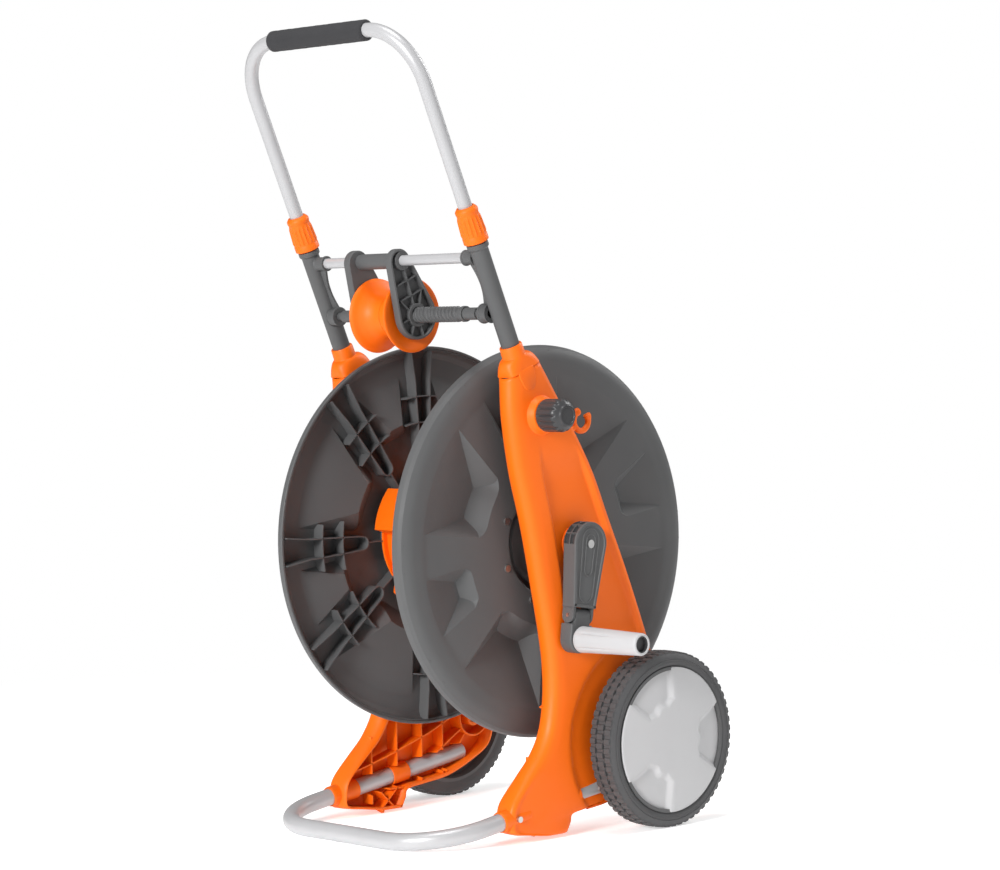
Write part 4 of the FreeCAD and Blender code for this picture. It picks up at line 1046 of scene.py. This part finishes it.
def racetrack_rim(low, high, half):
    """A thin raised rim round a racetrack: two half circles joined by straight sides."""
    turn = np.linspace(0, math.pi, 15)
    bottom = np.column_stack([half * 0.85 * np.cos(turn), high + half * 0.85 * np.sin(turn)])
    top = np.column_stack([-half * np.cos(turn), low - half * np.sin(turn)])
    path = np.vstack([bottom, top])
    section = []
    for x, shift in ((18, -1), (19.7, -0.6), (19.7, 0.6), (18, 1)):
        section.append(crank_origin + x * X_AXIS + path[:, :1] * CRANK_ACROSS + path[:, 1:] * CRANK_DOWN
                       + set_in(path, np.full(len(path), shift)))
    return np.stack(section, axis=1)


def add_fork(piece, near, far, outer):
    """The knuckles of the fold: discs about the fold's axis with a block behind each."""
    knuckle = 9
    hinge = crank_origin + knuckle * X_AXIS + FOLD_AT * CRANK_DOWN
    sides = ((near, far), (-far, -near)) if outer else ((-near, near),)
    for start, stop in sides:
        disc = [(start, 0), (start, knuckle - 0.6), (start + 0.6, knuckle), (stop - 0.6, knuckle),
                (stop, knuckle - 0.6), (stop, 0)]
        piece.lathe(disc, hinge, CRANK_ACROSS, columns=48, closed=False)
        reach = (-knuckle - 2, 0) if outer else (0, knuckle + 2)
        block = [(start + 0.3, FOLD_AT + reach[0]), (stop - 0.3, FOLD_AT + reach[0]),
                 (stop - 0.3, FOLD_AT + reach[1]), (start + 0.3, FOLD_AT + reach[1])]
        levels = [(0.2, 0), (2 * knuckle - 0.2, 0)]
        piece.tube(upright(block, levels, CRANK_ACROSS, CRANK_DOWN, crank_origin))


def make_crank_tip():
    """The folding end: a block with a half round foot, its face edge rounded."""
    half = 16
    bend = np.linspace(0, math.pi, 25)
    foot = np.column_stack([half * np.cos(bend), CRANK_LENGTH + half * np.sin(bend)])
    top = FOLD_AT + 9.6
    outline = np.vstack([foot, [(-half, top), (half, top)]])
    outline = outline[::-1]
    levels = np.vstack([[(0, 1.0), (0.6, 0.3), (1.4, 0)], rounded_levels(2, 18, 2.2)[1:], [(18, 6)]])
    piece = Piece().tube(upright(outline, levels, CRANK_ACROSS, CRANK_DOWN, crank_origin))
    add_fork(piece, 11.6, 0, False)
    piece.finish("folding_crank_tip", "crank_end", "dark_grey_plastic", "crank_tip", crease=30)


def make_grip():
    """The grip: the radius falls along a straight taper, and five narrow grooves of depth cos^12 of
    5 a fade out towards the open end, which has a black lining."""
    low, high = node_box("crank_grip")
    middle = (low + high) / 2
    length = high[0] - low[0]
    base = (high[2] - low[2]) / 2
    tip = base - 2.5

    def grooved(s, r, angle):
        """Full depth near the base, and gone by seven tenths of the length."""
        ridge = np.maximum(np.cos(angle * 5), 0) ** 12
        fade = soft_step(s, 4, 12) * (1 - soft_step(s, length * 0.4, length * 0.7))
        return r - 1.3 * ridge * fade * (r > tip - 0.5)

    taper = [(share * length, base + (tip - base) * share) for share in np.linspace(0.06, 0.94, 24)]
    profile = [(0, 5.2), (0, base - 2.6), (0.9, base - 0.9), (2.4, base)] + taper
    profile += [(length - 1.6, tip), (length - 0.5, tip - 0.5), (length, tip - 1.4), (length, tip - 2.6),
                (length - 0.6, tip - 3.1), (length - 9, tip - 3.6), (length - 10, 5.2)]
    origin = (low[0], middle[1], middle[2])
    piece = Piece().lathe(profile, origin, columns=120, flute=grooved)
    piece.finish("tapered_grip", "grip", "light_grey_plastic", "crank_grip", crease=40)
    face = max(node_box("grip_pin")[1][0] - low[0] + 0.4, length - 9.6)
    liner = [(face, 0), (face, tip - 3.9), (length - 1, tip - 3.4), (length - 1, tip - 4.2),
             (face + 1, tip - 4.8), (face + 1, 0)]
    piece = Piece().lathe(liner, origin, columns=64, closed=False)
    piece.finish("grip_mouth_plug", "grip", "black_plastic")


def make_knob(side, word):
    """The clamp knob: fourteen flutes, each a hollow of depth cos^1.5 of 14 a, over the barrel, and
    then a cone and a flat end with a shallow ring.  Under it is the round boss on the plate."""
    low, high = node_box("right_clamp_knob")
    length = high[0] - low[0]
    radius = (high[2] - low[2]) / 2

    def fluted(s, r, angle):
        """The flutes start above the base and fade out on the cone."""
        hollow = np.maximum(np.cos(angle * 14), 0) ** 1.5
        reach = soft_step(s, 2.5, 5) * (1 - soft_step(s, length - 9, length - 4))
        return r - 1.9 * hollow * reach * (r > radius - 4)

    barrel = [(s, radius) for s in np.linspace(1.6, length - 8.6, 12)]
    cone = [(length - 8 + 6.4 * t, radius - 0.3 - 6 * t ** 1.3) for t in np.linspace(0, 1, 8)]
    profile = [(0, 3.2), (0, radius - 1.6), (0.6, radius - 0.5)] + barrel + cone
    profile += [(length - 0.4, 11.8), (length, 11.2), (length, 9.6), (length - 0.7, 9.2), (length - 0.7, 0),
                (3, 0), (3, 3.2)]
    origin = (low[0], knob_middle[1], knob_middle[2])
    piece = Piece().lathe(profile, origin, columns=196, flute=fluted)
    piece.finish(f"{word}_fluted_knob", f"{word}_knob", "black_plastic", f"{word}_clamp_knob", side=side,
                 crease=40)
    boss = [(-2.5, 4), (-2.5, 24), (0, 22.4), (2, 20.4), (5, 19.2), (6.6, 18.6), (7.2, 17.6), (7.4, 15),
            (7.4, 4)]
    origin = (plate_outer, knob_middle[1], knob_middle[2])
    piece = Piece().lathe(boss, origin, columns=96)
    piece.finish(f"{word}_round_boss", "chassis", "orange_plastic", f"{word}_knob_boss", side=side, crease=30)


make_crank_arm()
make_crank_tip()
make_grip()
both_sides(make_knob)


# ---- posts and handle ---------------------------------------------------------------------------

POST_LENGTH = 132
CROSS_HEIGHT = 114
SCREW_HEIGHT = 48.5
SCREW_FORWARD = 4
SOCKET_START = 9.6
HANDLE_CORNER = 65
FOOT_CORNER = 80


def make_post(side, word):
    """The moulded sleeve with its top collar, the two sockets that hold the cross tube and the guide
    screw, and the gusset between them."""
    bore = 9.3
    sleeve = softened([(-6, bore), (-6, 10.5), (POST_LENGTH - 8, 10.5), (POST_LENGTH - 6, 12.4),
                       (POST_LENGTH - 1, 12.4), (POST_LENGTH - 0.4, 10.2), (POST_LENGTH - 0.4, bore)],
                      0.8, closed=True)
    piece = Piece().lathe(sleeve, post_foot, POST_AXIS, columns=72)
    for height, forward, radius, bore, reach in ((CROSS_HEIGHT, 0, 8.6, 6.05, 26),
                                                 (SCREW_HEIGHT, SCREW_FORWARD, 11, 5.1, 22)):
        socket = softened([(SOCKET_START, bore), (SOCKET_START, radius), (reach * 0.4, radius),
                           (reach * 0.46, radius - 0.8), (reach - 2.6, radius - 0.8),
                           (reach - 2.2, radius + 0.4), (reach, radius + 0.4),
                           (reach, bore)], 0.6, closed=True)
        piece.lathe(socket, from_post(height, forward), -X_AXIS, columns=64)
    web = [(-4, -1.4), (-22, -1.4), (-22, 1.4), (-4, 1.4)]
    heights = np.linspace(SCREW_HEIGHT + 4, CROSS_HEIGHT - 4, 12)
    pinch = 7 * np.sin(np.linspace(0, math.pi, 12))
    sections = []
    for height, narrow in zip(heights, pinch):
        sections.append([from_post(height, forward, across + (narrow if across < -10 else 0))
                         for across, forward in web])
    piece.tube(np.array(sections))
    piece.finish(f"{word}_moulded_post", "chassis", "dark_grey_plastic", f"{word}_post", side=side, crease=30)


def make_lock_nut(side, word):
    """The clamping nut: eighteen raised ridges of height |cos 9a|^6 on a tapered barrel."""
    base = 0.5

    def ridged(s, r, angle):
        """The ridges, on the barrel only."""
        ridge = np.abs(np.cos(angle * 9)) ** 6
        reach = soft_step(s, 8.5, 11) * (1 - soft_step(s, 28, 33))
        return r + 0.9 * ridge * reach * (r > 11)

    barrel = [(s, 13.9 - 0.058 * (s - 9)) for s in np.linspace(9.5, 34, 14)]
    profile = [(base, 11), (base, 13.4), (base + 0.8, 14.4), (7.6, 14.4), (8.4, 13.9)] + barrel
    profile += [(35, 12.9), (36.4, 13.1), (38.4, 13.1), (39.6, 12.4), (41, 11.2), (42, 10.4), (42, 8.5),
                (34, 8.5), (34, 11)]
    origin = post_foot + POST_LENGTH * POST_AXIS
    piece = Piece().lathe(profile, origin, POST_AXIS, columns=180, flute=ridged)
    piece.finish(f"{word}_ridged_nut", f"{word}_nut", "orange_plastic", f"{word}_lock_nut", side=side,
                 crease=40)


def make_foam():
    """The foam sleeve: a round bar with rounded ends, whose skin waves by a tenth of a millimetre."""
    low, high = node_box("foam_grip")
    middle = (low + high) / 2
    length = high[0] - low[0]
    radius = (high[2] - low[2]) / 2
    s = np.linspace(0, 1, 80)
    from_end = np.minimum(s, 1 - s) * length
    round_end = 2.5
    r = radius - round_end * (1 - np.sqrt(1 - (1 - np.minimum(from_end / round_end, 1)) ** 2))
    swell = 0.12 * np.sin(s * 61) * np.sin(s * 23)
    outer = np.column_stack([low[0] + s * length, r - 0.15 + swell])
    profile = np.vstack([[(low[0], 8)], outer, [(high[0], 8)]])
    origin = (0, middle[1], middle[2])
    piece = Piece().lathe(profile, origin, columns=96)
    foam = piece.finish("foam_sleeve", "handle", "foam", "foam_grip", crease=60)


# ---- hose guide ---------------------------------------------------------------------------------

LEAD = 12


def make_guide_screw():
    """The guide screw: two thread starts, radius = valley + rise w, where w is a flattened cosine
    of 2 (s / lead - a / turn), between plain ends that narrow into the posts' sockets."""
    low, high = node_box("guide_screw")
    middle = (low + high) / 2
    half = high[0]
    crest = 9
    valley = 7
    thread = half - 38

    def threaded(s, r, angle):
        """The two threads, between the plain ends."""
        phase = TAU * 2 * (s / LEAD) - 2 * angle
        wave = soft_step(np.cos(phase), -0.35, 0.35)
        inside = 1 - soft_step(np.abs(s), thread - 2, thread)
        return r + (crest - valley) * wave * inside * (r > 6)

    body = [(s, valley) for s in np.linspace(-half + 11, half - 11, 460)]
    profile = [(-half, 0), (-half, 4.6), (-half + 0.6, 5), (-half + 9, 5), (-half + 9, valley)] + body
    profile += [(half - 9, valley), (half - 9, 5), (half - 0.6, 5), (half, 4.6), (half, 0)]
    origin = (0, middle[1], middle[2])
    piece = Piece().lathe(profile, origin, columns=48, flute=threaded, closed=False)
    for sign in (1, -1):
        collar = softened([(sign * (thread + 4), 7), (sign * (thread + 4), 9), (sign * (thread + 9), 9),
                           (sign * (thread + 9), 7)], 0.7, closed=True)
        piece.lathe(collar, origin, columns=48)
    piece.finish("threaded_guide_screw", "chassis", "dark_grey_plastic", "guide_screw", crease=45)


def teardrop(tall, lobe, eye, count=40):
    """Two circles and their common tangents: the tangents touch at the angle whose cosine is
    (R - r) / distance from the line of centres."""
    touch = math.acos((lobe - eye) / tall)
    low_turn = np.linspace(touch, TAU - touch, count)
    high_turn = np.linspace(-touch, touch, count // 2)
    bottom = np.column_stack([lobe * np.sin(low_turn), lobe * np.cos(low_turn)])
    top = np.column_stack([eye * np.sin(high_turn), tall + eye * np.cos(high_turn)])
    return np.vstack([bottom, top])


def make_guide_plate(node, name, outward):
    """A teardrop plate: a raised border round a sunken floor, with rings about the screw and the
    cross tube and ribs between them.  outward is the way that the ribbed face looks along X."""
    low, high = node_box(node)
    thickness = high[0] - low[0]
    face = high[0] if outward > 0 else low[0]
    back = low[0] if outward > 0 else high[0]
    tall = CROSS_HEIGHT - SCREW_HEIGHT
    screw = from_post(SCREW_HEIGHT, SCREW_FORWARD)
    origin = np.array((0, screw[1], screw[2]))
    outline = teardrop(tall, 28, 15)
    floor = face - outward * (thickness - 3)
    lip = 1.2
    levels = [(back, 1), (back + outward * 1, 0), (face - outward * lip, 0), (face - outward * 0.3, 0.4),
              (face, lip), (face, 2.6), (face - outward * 0.8, 3.2), (floor, 3.6), (floor, 9)]
    piece = Piece().tube(upright(outline, levels, FORWARD, POST_AXIS, origin))
    for centre, outer, inner in (((0, 0), 13.5, 9.5), ((-SCREW_FORWARD, tall), 11, 9)):
        ring_origin = origin + centre[0] * FORWARD + centre[1] * POST_AXIS
        ring = [(floor, inner), (floor, outer), (face - outward * 0.6, outer),
                (face - outward * 0.2, outer - 0.5),
                (face - outward * 0.2, inner)]
        piece.lathe(ring, ring_origin, columns=60)
    spokes = [((13, 0), (26, 0)), ((-13, 0), (-26, 0)), ((9, -9), (18, -19)), ((-9, -9), (-18, -19)),
              ((0, -13), (0, -26)), ((9, 10), (17, 24)), ((-9, 10), (-17, 24)), ((0, 13), (-3, 55)),
              ((-19, 24), (17, 24)), ((-16, 42), (14, 42))]
    for start, stop in spokes:
        line = np.linspace(start, stop, 3)
        flat = wall(line, 1.6, floor - outward * 0.3, face - outward * 0.8)
        x = flat[..., :1] * X_AXIS
        piece.tube(origin + x + flat[..., 1:2] * FORWARD + flat[..., 2:] * POST_AXIS)
    piece.finish(name, "carriage", "dark_grey_plastic", node, crease=30)


def make_bridge():
    """The sleeve that joins the two guide plates and slides on the cross tube."""
    low, high = node_box("guide_bridge")
    profile = softened([(low[0], 6.2), (low[0], 9), (high[0], 9), (high[0], 6.2)], 0.8, closed=True)
    middle = from_post(CROSS_HEIGHT)
    piece = Piece().lathe(profile, (0, middle[1], middle[2]), columns=64)
    piece.finish("bridge_sleeve", "carriage", "dark_grey_plastic", "guide_bridge", crease=40)


def make_pulley_half(side, word):
    """Half of the flared pulley: a smooth curve from the waist out to a rounded rim."""
    low, high = node_box(f"{word}_pulley_half")
    middle = place_of("pulley_spin")
    half = high[0] - low[0]
    curve = smooth_line([(0.25, 24), (half * 0.3, 25.2), (half * 0.55, 29), (half * 0.74, 35),
                         (half * 0.85, 40.4), (half * 0.92, 42.7)], 26)
    rim = [(half - 0.9, 43), (half - 0.2, 42.4), (half, 41.4), (half - 0.3, 38), (half - 2.6, 31),
           (half - 3.6, 20), (half - 0.2, 17), (half, 16), (half, 9.2)]
    profile = np.vstack([[(0.25, 9.2), (0.25, 23.4)], curve, rim]) * (side, 1)
    piece = Piece().lathe(profile, middle, columns=128)
    piece.finish(f"{word}_flared_pulley", "pulley", "orange_plastic", f"{word}_pulley_half", crease=40)


# ---- small parts on the plates ------------------------------------------------------------------

CLIP_RADIUS = 15


def make_hose_clip():
    """An open ring that thickens near both ends, on a straight stem that narrows towards it."""
    low, high = node_box("hose_clip")
    outline_radius = 11.6
    arm = np.array((0.0, 0.841, 0.5405))
    centre = np.array(((low[0] + high[0]) / 2, high[1] - CLIP_RADIUS, high[2] - CLIP_RADIUS))
    across = np.cross(X_AXIS, arm)
    turn = np.linspace(math.radians(10), math.radians(-290), 40)
    ring = centre + outline_radius * (np.cos(turn)[:, None] * arm + np.sin(turn)[:, None] * across)
    place = np.linspace(0, 1, 40)
    from_end = np.minimum(place, 1 - place) * 40
    radius = 3.5 + 1.1 * np.exp(-((from_end - 2.2) / 2.2) ** 2) - 3 * (from_end < 0.6)
    piece = Piece().tube(swept_round(ring, radius[:, None, None], 20))
    stem = centre - np.linspace(36, 12.5, 8)[:, None] * arm
    thick = np.linspace(4.4, 3.4, 8)[:, None, None]
    piece.tube(swept_round(stem, thick, 20))
    piece.finish("hose_end_clip", "chassis", "orange_plastic", "hose_clip", crease=40)


def make_inlet():
    """The hose coupling's spigot: a flanged nut, a neck with a seal groove and a bevelled mouth."""
    low, high = node_box("water_inlet")
    start = high[0]
    length = high[0] - low[0]
    profile = softened([(0, 5), (0, 16), (6, 16), (6, 10.5), (9, 10.5), (9, 8.5), (14.5, 8.5), (15, 6.8),
                        (18, 6.8), (18.5, 8.5), (length - 6, 8.5), (length, 6.8),
                        (length, 5)], 0.5, closed=True)

    def gripped(s, r, angle):
        """Twelve notches in the nut's rim."""
        return r - 0.7 * (np.cos(angle * 12) > 0.2) * (r > 15.4) * (s > 1) * (s < 5.6)

    origin = (start, reel_middle[1], reel_z)
    piece = Piece().lathe(profile, origin, -X_AXIS, columns=144, flute=gripped)
    piece.finish("inlet_spigot", "chassis", "black_plastic", "water_inlet", crease=35)


def bent_tube(half_width, start, stop, corner, origin, axis):
    """A path along axis from start to stop, round a quarter circle, straight across, and back down
    the other side."""
    turn = np.linspace(0, math.pi / 2, 17)
    legs = np.linspace(start, stop - corner, 30)
    leg = np.column_stack([np.full(30, half_width), legs])
    round_corner = corner * np.column_stack([np.cos(turn), np.sin(turn)])
    bend = round_corner + (half_width - corner, stop - corner)
    half = np.vstack([leg, bend[1:], [(0, stop)]])
    flat = np.vstack([half, (half * (-1, 1))[-2::-1]])
    return origin + flat[:, :1] * X_AXIS + flat[:, 1:] * axis


def make_tubes():
    """The handle's and the foot's bent tubes."""
    low, high = node_box("handle_tube")
    radius = high[0] - post_foot[0]
    origin = np.array((0, *post_foot[1:]))
    bottom = (low[2] + radius * abs(FORWARD[2]) - post_foot[2]) / POST_AXIS[2]
    top = (high[2] - radius - post_foot[2]) / POST_AXIS[2]
    path = bent_tube(post_foot[0], bottom, top, HANDLE_CORNER, origin, POST_AXIS)
    handle = Piece().tube(swept_round(path, radius, 48))
    handle.finish("bent_handle", "handle", "silver_tube", "handle_tube", crease=40)
    reach = (foot_high[1] - FOOT_RADIUS * math.sin(FOOT_SLOPE) - foot_start[1]) / math.cos(FOOT_SLOPE)
    origin = foot_start * (0, 1, 1)
    path = bent_tube(FOOT_X, -reach, 0, FOOT_CORNER, origin, -foot_axis)
    foot = Piece().tube(swept_round(path, FOOT_RADIUS, 48))
    foot.finish("bent_foot", "chassis", "silver_tube", "foot_tube", crease=40)


both_sides(make_post)
make_tubes()
both_sides(make_lock_nut)
make_foam()
make_guide_screw()
make_guide_plate("right_guide_plate", "right_teardrop_plate", 1)
make_guide_plate("left_guide_plate", "left_teardrop_plate", -1)
make_bridge()
for pulley_side, pulley_word in ((1, "right"), (-1, "left")):
    make_pulley_half(pulley_side, pulley_word)
make_hose_clip()
make_inlet()
